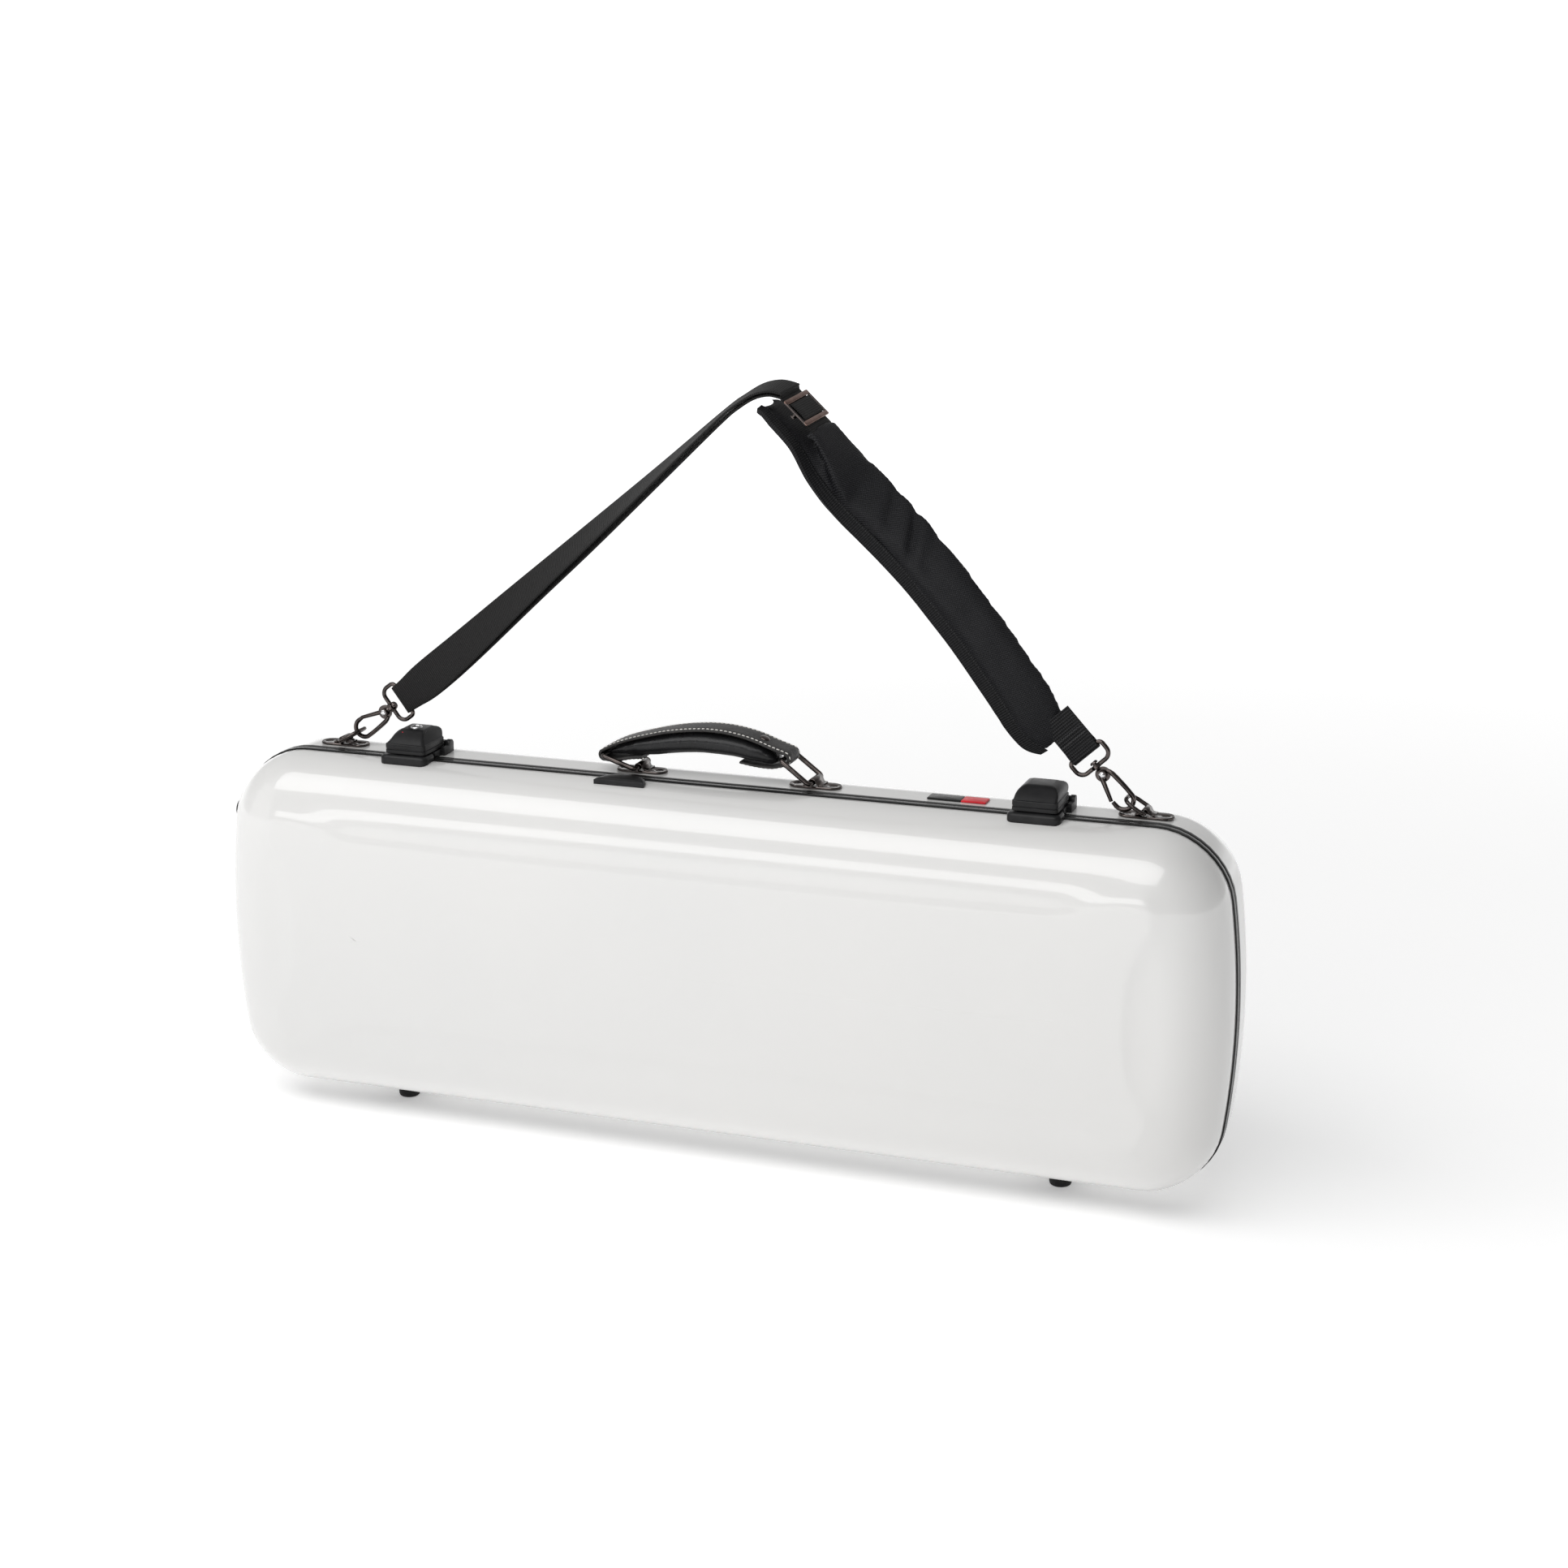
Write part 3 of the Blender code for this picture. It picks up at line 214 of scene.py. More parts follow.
def web_look(name, colour, rib, fine, depth, roughness):
    """Woven tape: ribs across it and warp threads along it, from its along and across map."""
    tree, shader = shader_of(name, colour, roughness)
    set_inputs(shader, Specular_IOR_Level=0.18, Sheen_Weight=0.02, Sheen_Roughness=0.4)
    source = coordinates(tree, "UV")
    ribs = wave(tree, source, "Y", rib)
    threads = wave(tree, source, "X", fine)
    weave = maths(tree, "ADD", ribs, maths(tree, "MULTIPLY", threads, 0.45))
    fuzz = maths(tree, "ADD", weave, maths(tree, "MULTIPLY", noise_at(tree, 900, 3), 1.2))
    # The crests of the ribs and threads are painted up to about three times lighter: a painted
    # highlight on the weave, with random tone from the noise.
    light = tuple(channel * 3.4 + 0.004 for channel in colour)
    tone = ramp(tree, level(tree, fuzz, 0.0, 0.6), colour, light)
    tree.links.new(tone, shader.inputs["Base Color"])
    bump(tree, shader, fuzz, depth, 0.0004)


def twill_look():
    """Nylon pack cloth: diagonal ribs of about a millimetre with a soft shine, partly a painted
    highlight on the rib crests.
    """
    tree, shader = shader_of("twill", (0.010, 0.010, 0.011), 0.42)
    set_inputs(shader, Specular_IOR_Level=0.16, Sheen_Weight=0.02, Sheen_Roughness=0.35)
    turned = new_node(tree, "Mapping", Rotation=(0, 0, 0.7))
    tree.links.new(coordinates(tree, "UV"), turned.inputs["Vector"])
    ribs = wave(tree, turned.outputs["Vector"], "X", 0.0013)
    cross = wave(tree, turned.outputs["Vector"], "Y", 0.0010)
    weave = maths(tree, "ADD", ribs, maths(tree, "MULTIPLY", cross, 0.5))
    # The rib crests are painted lighter than the hollows: a painted highlight on the weave.
    tone = ramp(tree, level(tree, weave, 0.0, 0.7), (0.004, 0.004, 0.005), (0.024, 0.024, 0.027))
    tree.links.new(tone, shader.inputs["Base Color"])
    tree.links.new(level(tree, noise_at(tree, 40, 4), 0.34, 0.52), shader.inputs["Roughness"])
    folds = bump(tree, shader, noise_at(tree, 34, 4), 0.3, 0.004)
    bump(tree, shader, weave, 0.5, 0.0004, folds)


def velvet_look(name, dark, light):
    tree, shader = shader_of(name, dark, 0.9)
    set_inputs(shader, Sheen_Weight=0.7, Sheen_Roughness=0.3, Sheen_Tint=(*light, 1))
    mottle(tree, shader, (26, 5, dark, light))
    bump(tree, shader, noise_at(tree, 1500, 2), 0.3, 0.0005)


def thread_look(name, colour):
    tree, shader = shader_of(name, colour, 0.7)
    shade = tuple(channel * 0.72 for channel in colour)
    mottle(tree, shader, (500, 3, shade, colour))
    bump(tree, shader, noise_at(tree, 3000, 2), 0.3, 0.0002)


shell_look()
plastic_look("plastic", (0.007, 0.007, 0.0075), 0.26, 0.42)
plastic_look("trim", (0.005, 0.005, 0.005), 0.18, 0.3)
plastic_look("rubber", (0.009, 0.009, 0.009), 0.5, 0.68)
plastic_look("red", (0.55, 0.02, 0.03), 0.25, 0.4)
plastic_look("label_dark", (0.010, 0.010, 0.010), 0.2, 0.34)
metal_look("gunmetal", (0.050, 0.044, 0.043), (0.125, 0.106, 0.10), 0.12, 0.24)
metal_look("copper", (0.15, 0.095, 0.08), (0.27, 0.18, 0.155), 0.16, 0.3)
metal_look("chrome", (0.55, 0.55, 0.56), (0.75, 0.75, 0.76), 0.1, 0.26)
leather_look("strap_leather", (0.016, 0.0155, 0.0155), (0.036, 0.034, 0.033), 0.4, 0.58, 900, 0.6)
leather_look("roll_leather", (0.004, 0.004, 0.0045), (0.009, 0.009, 0.010), 0.22, 0.36, 1400, 0.16)
web_look("webbing", (0.004, 0.0038, 0.0038), 0.0016, 0.0011, 0.35, 0.6)
web_look("end_web", (0.005, 0.005, 0.0055), 0.0021, 0.0016, 0.8, 0.5)
web_look("binding", (0.004, 0.004, 0.0045), 0.0017, 0.003, 0.8, 0.65)
twill_look()
velvet_look("plush", (0.030, 0.031, 0.036), (0.075, 0.077, 0.088))
velvet_look("lid_plush", (0.034, 0.035, 0.040), (0.08, 0.082, 0.092))
thread_look("white_thread", (0.8, 0.78, 0.74))
thread_look("black_thread", (0.035, 0.035, 0.037))


# ---------------------------------------------------------------- piece helpers


def finish_piece(obj, look, body, nodes=(), place=True):
    """Puts a drawn piece in the row frame, with its finish and its body."""
    if place:
        obj.data.transform(PLACE)
    if look:
        obj.data.materials.clear()
        obj.data.materials.append(MATERIALS[look])
    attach(obj, body)
    if nodes:
        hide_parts(*nodes)
    return obj


def link(obj):
    bpy.context.scene.collection.objects.link(obj)
    return obj


def mesh_object(name, mesh, smooth=True, angle=40):
    data = bpy.data.meshes.new(name)
    mesh.to_mesh(data)
    mesh.free()
    if smooth:
        data.shade_smooth()
        data.set_sharp_from_angle(angle=math.radians(angle))
    return link(bpy.data.objects.new(name, data))


def baked(obj):
    """Applies all of an object's modifiers, or makes a curve a mesh with welded caps."""
    bpy.context.view_layer.update()
    graph = bpy.context.evaluated_depsgraph_get()
    data = bpy.data.meshes.new_from_object(obj.evaluated_get(graph))
    mesh = bmesh.new()
    mesh.from_mesh(data)
    bmesh.ops.remove_doubles(mesh, verts=mesh.verts, dist=1e-5)
    bmesh.ops.transform(mesh, matrix=obj.matrix_world, verts=mesh.verts)
    name = obj.name
    bpy.data.objects.remove(obj)
    return mesh_object(name, mesh)


def loft(name, rings, loop=False, caps=(True, True), smooth=True, angle=40, across=None):
    """A skin through rings of points. across gives each ring's point a place across a tape."""
    mesh = bmesh.new()
    rows = [[mesh.verts.new(Vector(point)) for point in ring] for ring in rings]
    count = len(rows[0])
    following = rows[1:] + rows[:1] if loop else rows[1:]
    for first, second in zip(rows, following):
        for i in range(count):
            j = (i + 1) % count
            mesh.faces.new((first[i], first[j], second[j], second[i]))
    if caps[0] and not loop:
        mesh.faces.new(list(reversed(rows[0])))
    if caps[1] and not loop:
        mesh.faces.new(rows[-1])
    if across:
        lay_map(mesh, rows, across)
    bmesh.ops.recalc_face_normals(mesh, faces=mesh.faces)
    return mesh_object(name, mesh, smooth, angle)


def lay_map(mesh, rows, across):
    """A map in metres: X across the tape, Y along it."""
    layer = mesh.loops.layers.uv.new("UVMap")
    places = {}
    along = 0.0
    for i, row in enumerate(rows):
        if i:
            along += (row[0].co - rows[i - 1][0].co).length
        for vertex, share in zip(row, across):
            places[vertex] = (share * MM, along * MM)
    for face in mesh.faces:
        for corner in face.loops:
            corner[layer].uv = places[corner.vert]


def turn(angle):
    return math.cos(math.radians(angle)), math.sin(math.radians(angle))


def clamp(value, low=0, high=1):
    return min(max(value, low), high)


def signed_power(value, exponent):
    return math.copysign(abs(value) ** exponent, value)


def eased_share(t):
    """A share that starts and ends gently."""
    return t * t * (3 - 2 * t)


def heading(path, i):
    """The direction in which a path of (x, z, ...) rows runs at row i."""
    before, after = path[max(i - 1, 0)], path[min(i + 1, len(path) - 1)]
    return Vector((after[0] - before[0], 0, after[1] - before[1])).normalized()


def smooth_value(a, b, c, d, t):
    """The Catmull-Rom value at share t from b to c."""
    slope_b, slope_c = (c - a) / 2, (d - b) / 2
    cubic = 2 * (b - c) + slope_b + slope_c
    square = 3 * (c - b) - 2 * slope_b - slope_c
    return ((cubic * t + square) * t + slope_b) * t + b


def eased(rows, steps):
    """The rows with steps in between, on a smooth curve through them all."""
    made = []
    for i in range(len(rows) - 1):
        p0, p1 = rows[max(i - 1, 0)], rows[i]
        p2, p3 = rows[i + 1], rows[min(i + 2, len(rows) - 1)]
        for k in range(steps):
            made.append([smooth_value(*values, k / steps) for values in zip(p0, p1, p2, p3)])
    made.append(list(rows[-1]))
    return made


def rounded(x0, x1, y0, y1, radius, steps=6):
    loop = []
    for x, y, start in ((x1, y1, 0), (x0, y1, 90), (x0, y0, 180), (x1, y0, 270)):
        cx = x - radius if x == x1 else x + radius
        cy = y - radius if y == y1 else y + radius
        for i in range(steps + 1):
            c, s = turn(start + 90 * i / steps)
            loop.append((cx + radius * c, cy + radius * s))
    return loop


def stack(name, levels, steps=6, angle=40):
    """Rounded rectangles (x0, x1, y0, y1, z, radius) laid one over another in Z."""
    rings = []
    for x0, x1, y0, y1, z, radius in levels:
        rings.append([(x, y, z) for x, y in rounded(x0, x1, y0, y1, radius, steps)])
    return loft(name, rings, angle=angle)


def turned(name, start, end, profile, sides=40):
    """A turned solid; profile holds (share of the way from start to end, radius)."""
    start, end = Vector(start), Vector(end)
    length = (end - start).length
    points = [(0, 0, profile[-1][0] * length)]
    points += [(radius, 0, share * length) for share, radius in reversed(profile)]
    points.append((0, 0, profile[0][0] * length))
    data = bpy.data.meshes.new(name)
    data.from_pydata(points, [(i, i + 1) for i in range(len(points) - 1)], [])
    source = link(bpy.data.objects.new(name, data))
    rotation = (end - start).to_track_quat("Z", "Y").to_matrix().to_4x4()
    source.matrix_world = Matrix.Translation(start) @ rotation
    screw = source.modifiers.new("turning", "SCREW")
    screw.steps = sides
    screw.render_steps = sides
    screw.use_merge_vertices = True
    screw.merge_threshold = 1e-4
    return baked(source)


def wire(name, path, radius, closed=False, radii=None, resolution=5):
    curve = bpy.data.curves.new(name, "CURVE")
    curve.dimensions = "3D"
    curve.bevel_depth = radius
    curve.bevel_resolution = resolution
    curve.use_fill_caps = not closed
    spline = curve.splines.new("POLY")
    spline.points.add(len(path) - 1)
    for i, spot in enumerate(path):
        spline.points[i].co = (*spot, 1)
        spline.points[i].radius = radii[i] if radii else 1
    spline.use_cyclic_u = closed
    obj = link(bpy.data.objects.new(name, curve))
    return baked(obj)


def joined(name, *objs):
    """Several drawn pieces as one mesh, each keeping its materials."""
    mesh = bmesh.new()
    looks = []
    for obj in objs:
        first = len(mesh.faces)
        slots = []
        for look in obj.data.materials:
            if look not in looks:
                looks.append(look)
            slots.append(looks.index(look))
        mesh.from_mesh(obj.data)
        mesh.faces.ensure_lookup_table()
        for face in mesh.faces[first:]:
            if slots:
                face.material_index = slots[min(face.material_index, len(slots) - 1)]
        bpy.data.objects.remove(obj)
    data = bpy.data.meshes.new(name)
    mesh.to_mesh(data)
    mesh.free()
    for look in looks:
        data.materials.append(look)
    return link(bpy.data.objects.new(name, data))


def painted(obj, look):
    obj.data.materials.append(MATERIALS[look])
    return obj


def cut_by(obj, *cutters):
    """The object with cutters taken out of it; the cutters are removed."""
    for cutter in cutters:
        step = obj.modifiers.new("cut", "BOOLEAN")
        step.operation = "DIFFERENCE"
        step.solver = "EXACT"
        step.object = cutter
    made = baked(obj)
    for cutter in cutters:
        bpy.data.objects.remove(cutter)
    return made


def softened(node, look, body, width, segments=2):
    """A copy of a CAD node with rounded edges, which stands for it."""
    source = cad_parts[node]
    mesh = bmesh.new()
    mesh.from_mesh(source.data)
    bmesh.ops.remove_doubles(mesh, verts=mesh.verts, dist=0.01 * MM)
    flat = math.radians(1)
    bmesh.ops.dissolve_limit(mesh, angle_limit=flat, verts=mesh.verts, edges=mesh.edges)
    obj = mesh_object("soft_" + node, mesh)
    step = obj.modifiers.new("edges", "BEVEL")
    step.width = width * MM
    step.segments = segments
    step.limit_method = "ANGLE"
    step.angle_limit = math.radians(40)
    obj = baked(obj)
    return finish_piece(obj, look, body, (node,), place=False)


# ---------------------------------------------------------------- shells


def outline(inset, corner=10, long_side=70, end_side=18):
    """The case outline as a loop of (x, z), moved inwards by inset."""
    half_x = HALF_LENGTH - inset
    half_z = HALF_HEIGHT - inset
    radius = clamp(CORNER_RADIUS - 0.8 * inset, 12, half_z)
    straight_x, straight_z = half_x - radius, half_z - radius
    loop = []
    for sx, sz, start in ((1, 1, 0), (-1, 1, 90), (-1, -1, 180), (1, -1, 270)):
        for i in range(corner):
            c, s = turn(start + 90 * i / corner)
            loop.append((sx * straight_x + radius * c, sz * straight_z + radius * s))
        x, z = turn(start + 90)
        first = (sx * straight_x + radius * x, sz * straight_z + radius * z)
        last = (first[0] - 2 * sx * straight_x, first[1])
        steps = long_side
        if sx != sz:
            last = (first[0], first[1] - 2 * sz * straight_z)
            steps = end_side
        for i in range(steps):
            share = i / steps
            loop.append(tuple(a + (b - a) * share for a, b in zip(first, last)))
    bow = END_BOW / HALF_LENGTH / HALF_HEIGHT**2
    return [(x * (1 - bow * z * z), z) for x, z in loop]


# Right half of the raised field on the lid, from its upper middle to its lower middle
FIELD_EDGE = (
    (0, 77),
    (120, 77),
    (240, 78),
    (290, 82),
    (330, 104),
    (344, 78),
    (329, 42),
    (326, 0),
    (330, -36),
    (344, -66),
    (326, -96),
    (288, -74),
    (240, -67),
    (120, -65),
    (0, -65),
)
FIELD_RISE = 2.8
FIELD_FADE = 11
FIELD_EASE = 3.0
# The field starts this far in from the outline, and is at its full height after the blend
FIELD_FREE, FIELD_BLEND = 22, 26


def field_polygon():
    left = [(-x, z) for x, z in reversed(FIELD_EDGE[1:-1])]
    loop = list(FIELD_EDGE) + left
    return eased(loop + loop[:1], 4)[:-1]


FIELD = [Vector(point) for point in field_polygon()]


def field_distance(x, z):
    """How far a point lies outside the raised field; less than zero inside it."""
    point = Vector((x, z))
    nearest = 1e9
    inside = False
    for a, b in zip(FIELD, FIELD[1:] + FIELD[:1]):
        edge = b - a
        share = clamp((point - a).dot(edge) / edge.length_squared)
        nearest = min(nearest, (point - a - edge * share).length)
        if (a.y > z) != (b.y > z) and x < a.x + (z - a.y) / (b.y - a.y) * edge.x:
            inside = not inside
    return -nearest if inside else nearest


def relief(x, z, inset):
    """How far the lid's face stands out: a flat field whose edge falls away softly."""
    away = field_distance(x, z) + FIELD_EASE / 2
    share = 1.0
    if away > 0:
        share = math.exp(-away / FIELD_FADE * min(away / FIELD_EASE, 1))
    reach = clamp((inset - FIELD_FREE) / FIELD_BLEND)
    return FIELD_RISE * share * reach * reach * (3 - 2 * reach)


def shell_rows(start, straight, radius):
    """(inset, depth from the seam) from the rim over the round edge and across the face."""
    rows = [(0, start), (0, (start + straight) / 2), (0, straight)]
    for i in range(1, 17):
        c, s = turn(90 * i / 16)
        rows.append((radius - radius * c, straight + radius * s))
    inset = radius + 2.5
    while inset < HALF_HEIGHT - 0.5:
        rows.append((inset, straight + radius))
        inset += 2.5 if inset < 82 else 6
    return rows


def shell(name, side, start, straight, radius, relieved, body, node):
    rings = []
    for inset, depth in shell_rows(start, straight, radius):
        ring = []
        for x, z in outline(inset):
            rise = relief(x, z, inset) if relieved else 0
            ring.append((x, side * (depth + rise), z))
        rings.append(ring)
    skin = loft(name, rings, caps=(False, True), angle=60)
    wall = skin.modifiers.new("wall", "SOLIDIFY")
    wall.thickness = WALL
    wall.offset = -1
    skin = baked(skin)
    skin.data.set_sharp_from_angle(angle=math.radians(50))
    finish_piece(skin, "shell", body, (node,))


shell("lid_skin", -1, 1.8, LID_STRAIGHT, LID_ROUND, True, "lid", "lid_shell")
shell("base_skin", 1, 1.8, BASE_STRAIGHT, BASE_ROUND, False, "case", "base_shell")

# Sections (inset, y) of the two edge strips: a half-round face and the leg behind it
BASE_TRIM = (
    (-0.5, 0.25),
    (-0.95, 0.4),
    (-1.2, 0.9),
    (-1.2, 5.0),
    (-1.0, 5.7),
    (-0.3, 6),
    (-0.3, 1.5),
    (2.8, 1.5),
    (2.8, 7),
    (4.2, 7),
    (4.2, -3.8),
    (3, -3.8),
    (3, 0.2),
)
LID_TRIM = (*((inset, -y) for inset, y in BASE_TRIM[:7]), (2.6, -1.5), (2.6, -0.25))
for name, section, body in (("base_rim", BASE_TRIM, "case"), ("lid_rim", LID_TRIM, "lid")):
    rings = [[(x, y, z) for x, z in outline(inset)] for inset, y in section]
    strip = loft(name + "_strip", rings, loop=True, angle=50)
    finish_piece(strip, "trim", body, (name,))


# ---------------------------------------------------------------- feet and small black parts


def foot(node):
    low, high = node_span(node)
    middle = (low + high) / 2
    if node.startswith("end"):
        radius = (high.z - low.z) / 2
        start, end = (high.x + 3, middle.y, middle.z), (low.x, middle.y, middle.z)
    else:
        radius = (high.x - low.x) / 2
        start, end = (middle.x, middle.y, high.z), (middle.x, middle.y, low.z)
    profile = (
        (0, radius),
        (0.6, radius * 0.97),
        (0.88, radius * 0.92),
        (0.95, radius * 0.87),
        (0.985, radius * 0.79),
        (1, radius * 0.68),
        (1, radius * 0.36),
        (0.97, radius * 0.3),
    )
    made = turned(node + "_rubber", start, end, profile)
    finish_piece(made, "rubber", "case", (node,))


for node in sorted(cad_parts):
    if "foot_" in node:
        foot(node)

for side in ("left", "right"):
    softened(f"hinge_{side}_base_leaf", "plastic", "case", 0.25)
    softened(f"hinge_{side}_lid_leaf", "plastic", "lid", 0.25)


# ---------------------------------------------------------------- locks


def lock_levels(x, rows):
    """Rows of (half width, front, rear, height over the case top, radius)."""
    return [(x - half, x + half, y0, y1, TOP + z, radius) for half, y0, y1, z, radius in rows]


KEEPER_ROWS = (
    (19.3, -19.3, -0.8, -1.9, 5),
    (19.5, -19.5, -0.8, -1.4, 5),
    (19.5, -19.5, -0.8, 3.3, 5),
    (19.3, -19.3, -0.8, 3.8, 4.9),
    (18.4, -18.3, -0.8, 4.9, 4.6),
    (17.9, -17.8, -0.8, 5.2, 4.4),
)
COVER_ROWS = (
    (14.2, -12.4, 18.4, 12.0, 2),
    (14.2, -12.4, 18.4, 5.7, 2),
    (16.2, -14.5, 20.7, 5.7, 3),
    (16.7, -15, 21, 6.1, 3.2),
    (16.7, -15, 21, 8.6, 3.2),
    (16.2, -14.5, 20.7, 8.9, 3),
    (16.2, -14.5, 20.7, 9.3, 3),
    (16.7, -15, 21, 9.6, 3.2),
    (16.7, -15, 21, 12.9, 3.2),
    (16.5, -14.8, 20.9, 13.2, 3.1),
)
DOME_STEPS = 12


def dome_rows(crown):
    """The cover's upper part: a wedge that leans back, fuller for a higher crown."""
    rows = []
    for i in range(DOME_STEPS + 1):
        u = i / DOME_STEPS
        rise = 13.5 + 8.8 * (1 - (1 - u) ** 1.6)
        half, front = 15.9 - 7.5 * u ** (1.15 * crown), -13.6 + 14.0 * u
        rear = 20.3 + 5.0 * math.sin(math.pi * min(1.25 * u, 1)) - 3.5 * u**2
        rows.append((half, front, rear, rise, 2.6 - 1.0 * u))
    return tuple(rows)


def groove(name, start, end, lift):
    """A raised seam line over the cover's cheek."""
    start, end = Vector(start), Vector(end)
    path = []
    for i in range(7):
        up = Vector((0, 0, lift * math.sin(math.pi * i / 6)))
        path.append(start.lerp(end, i / 6) + up)
    return wire(name, path, 0.28, radii=[0.2, 1, 1, 1, 1, 1, 0.2], resolution=3)


def lock(side):
    x = middle_x(f"lock_{side}_cover")
    keeper = stack(f"lock_{side}_keeper_flange", lock_levels(x, KEEPER_ROWS), angle=28)
    finish_piece(keeper, "plastic", "lid", (f"lock_{side}_keeper",))
    rows = COVER_ROWS + dome_rows(0.75 if side == "left" else 1.7)
    cover = stack(f"lock_{side}_cover_shell", lock_levels(x, rows), steps=5, angle=24)
    barrel_y, barrel_z = 24, TOP + 6.5
    barrel = turned(
        "barrel",
        (x - 16.6, barrel_y, barrel_z),
        (x + 16.6, barrel_y, barrel_z),
        ((0, 2.7), (0.01, 3.1), (0.99, 3.1), (1, 2.7)),
    )
    web = stack("web", [(x - 15.8, x + 15.8, 18.8, 24, TOP + z, 0.8) for z in (6.8, 9.3)])
    ridges = []
    for end in (-1, 1):
        start = (x + end * 13.6, -10.2, TOP + 15.6)
        finish = (x + end * 9.6, 4.6, TOP + 21.4)
        ridges.append(groove(f"ridge_{end}", start, finish, 1.6))
    parts = [cover, barrel, web, *ridges]
    if side == "left":
        loop = rounded(x - 8.5, x + 3.5, 10.1, 12.4, 0.7, 3)
        path = [(across, -15.0, TOP + up) for across, up in loop]
        parts.append(wire("band", path, 0.16, closed=True, resolution=2))
    body = f"lock_cover_{side}"
    whole = joined(f"lock_{side}_cover_piece", *parts)
    finish_piece(whole, "plastic", body, (f"lock_{side}_cover",))
    softened(f"lock_{side}_base", "plastic", "case", 0.4)


for side in ("left", "right"):
    lock(side)

key_low, key_high = node_span("lock_left_key_cylinder")
key_x, key_y = (key_low.x + key_high.x) / 2, (key_low.y + key_high.y) / 2
key_radius = (key_high.x - key_low.x) / 2
key_profile = (
    (0, key_radius),
    (0.86, key_radius),
    (0.96, key_radius - 0.3),
    (1, key_radius - 0.8),
    (1, 2.9),
    (0.93, 2.7),
)
key_ends = [(key_x, key_y, z) for z in (key_low.z, key_high.z)]
key_barrel = turned("key_barrel", *key_ends, key_profile)
key_slot = stack(
    "key_slot",
    [(key_x - 2.1, key_x + 2.1, key_y - 0.5, key_y + 0.5, key_high.z + z, 0.3) for z in (-2, 1)],
)
key_barrel = cut_by(key_barrel, key_slot)
finish_piece(key_barrel, "chrome", "key_cylinder", ("lock_left_key_cylinder",))

dot = turned(
    "lock_left_dot",
    (key_x - 6.2, -3.4, TOP + 19.7),
    (key_x - 6.2, -3.9, TOP + 20.9),
    ((0, 1.9), (0.6, 1.9), (0.85, 1.6), (1, 1.0)),
)
finish_piece(dot, "red", "lock_cover_left")


# ---------------------------------------------------------------- pull tab and label

tab_low, tab_high = node_span("lid_pull_tab")
TAB_X = (tab_low.x + tab_high.x) / 2
TAB_HALF = (tab_high.x - tab_low.x) / 2


def half_moon(scale, z):
    """A half moon whose round side meets the seam and whose straight side is a finger lip."""
    ring = []
    for i in range(41):
        c, s = turn(4.5 * i)
        ring.append((TAB_X + TAB_HALF * scale * c, -12.8 - 7 * scale + 19 * scale * s, z))
    return ring


# Levels of the finger pull: scale of the half moon, height over the case top
TAB_LEVELS = (
    (0.985, -4.6),
    (1, -4.2),
    (1, 1.3),
    (0.985, 1.8),
    (0.93, 2.5),
    (0.82, 3.1),
    (0.66, 3.4),
    (0.4, 3.55),
    (0.15, 3.6),
)
tab_rings = [half_moon(scale, TOP + z) for scale, z in TAB_LEVELS]
finish_piece(loft("pull_tab", tab_rings, angle=50), "plastic", "lid", ("lid_pull_tab",))

label_low, label_high = node_span("label_plate")


def label_part(name, x0, x1, look):
    rows = []
    top = label_high.z
    for inset, z in ((0, label_low.z), (0, top - 0.4), (0.25, top - 0.15), (0.6, top)):
        rows.append((x0 + inset, x1 - inset, label_low.y + inset, label_high.y - inset, z, 1.2))
    return painted(stack(name, rows), look)


label_split = label_low.x + 0.58 * (label_high.x - label_low.x)
label_dark = label_part("label_dark_part", label_low.x, label_split, "label_dark")
label_red = label_part("label_red_part", label_split + 0.02, label_high.x, "red")
label = joined("label_badge", label_dark, label_red)
finish_piece(label, None, "case", ("label_plate",))


# ---------------------------------------------------------------- brackets and wire loops


PLATE_HALF_WIDTH = 8
RIVET_REACH = 14
RIVET_HOLE = ((0, 2.7), (0.5, 2.7), (1, 4.6))
RIVET_HEAD = ((0, 2.55), (0.7, 2.5), (0.9, 2.1), (1, 1.3), (1, 0.8), (0.8, 0.7))


def bracket(node, loop_radius, rise, clip_half_width):
    """An oval plate with two countersunk rivet holes and a clip bent over the wire."""
    low, high = node_span(node)
    x = (low.x + high.x) / 2
    y0, y1 = FITTING_Y - PLATE_HALF_WIDTH, FITTING_Y + PLATE_HALF_WIDTH
    under, over = TOP + 0.35, TOP + 1.9
    rows = []
    for inset, z in ((0.3, under), (0, under + 0.3), (0, over - 0.45), (0.4, over)):
        rows.append((low.x + inset, high.x - inset, y0 + inset, y1 - inset, z, 7.8 - inset))
    plate = stack("plate", rows, steps=10)
    holes = []
    rivets = []
    for end in (-RIVET_REACH, RIVET_REACH):
        bottom, top, foot_end, head_end = [
            (x + end, FITTING_Y, TOP + z) for z in (0, 2.4, 0.3, 1.3)
        ]
        holes.append(turned("hole", bottom, top, RIVET_HOLE, 28))
        rivets.append(turned("rivet", foot_end, head_end, RIVET_HEAD, 24))
    plate = cut_by(plate, *holes)
    clip = clip_over(x, rise, loop_radius, clip_half_width)
    whole = joined(node + "_metal", plate, clip, *rivets)
    finish_piece(whole, "gunmetal", "case", (node,))


# The clip's section: share of its half width, share of its thickness
CLIP_SECTION = (
    (-1, 0.25),
    (-0.96, 0),
    (0.96, 0),
    (1, 0.25),
    (1, 0.75),
    (0.96, 1),
    (-0.96, 1),
    (-1, 0.75),
)
CLIP_THICK = 1.15


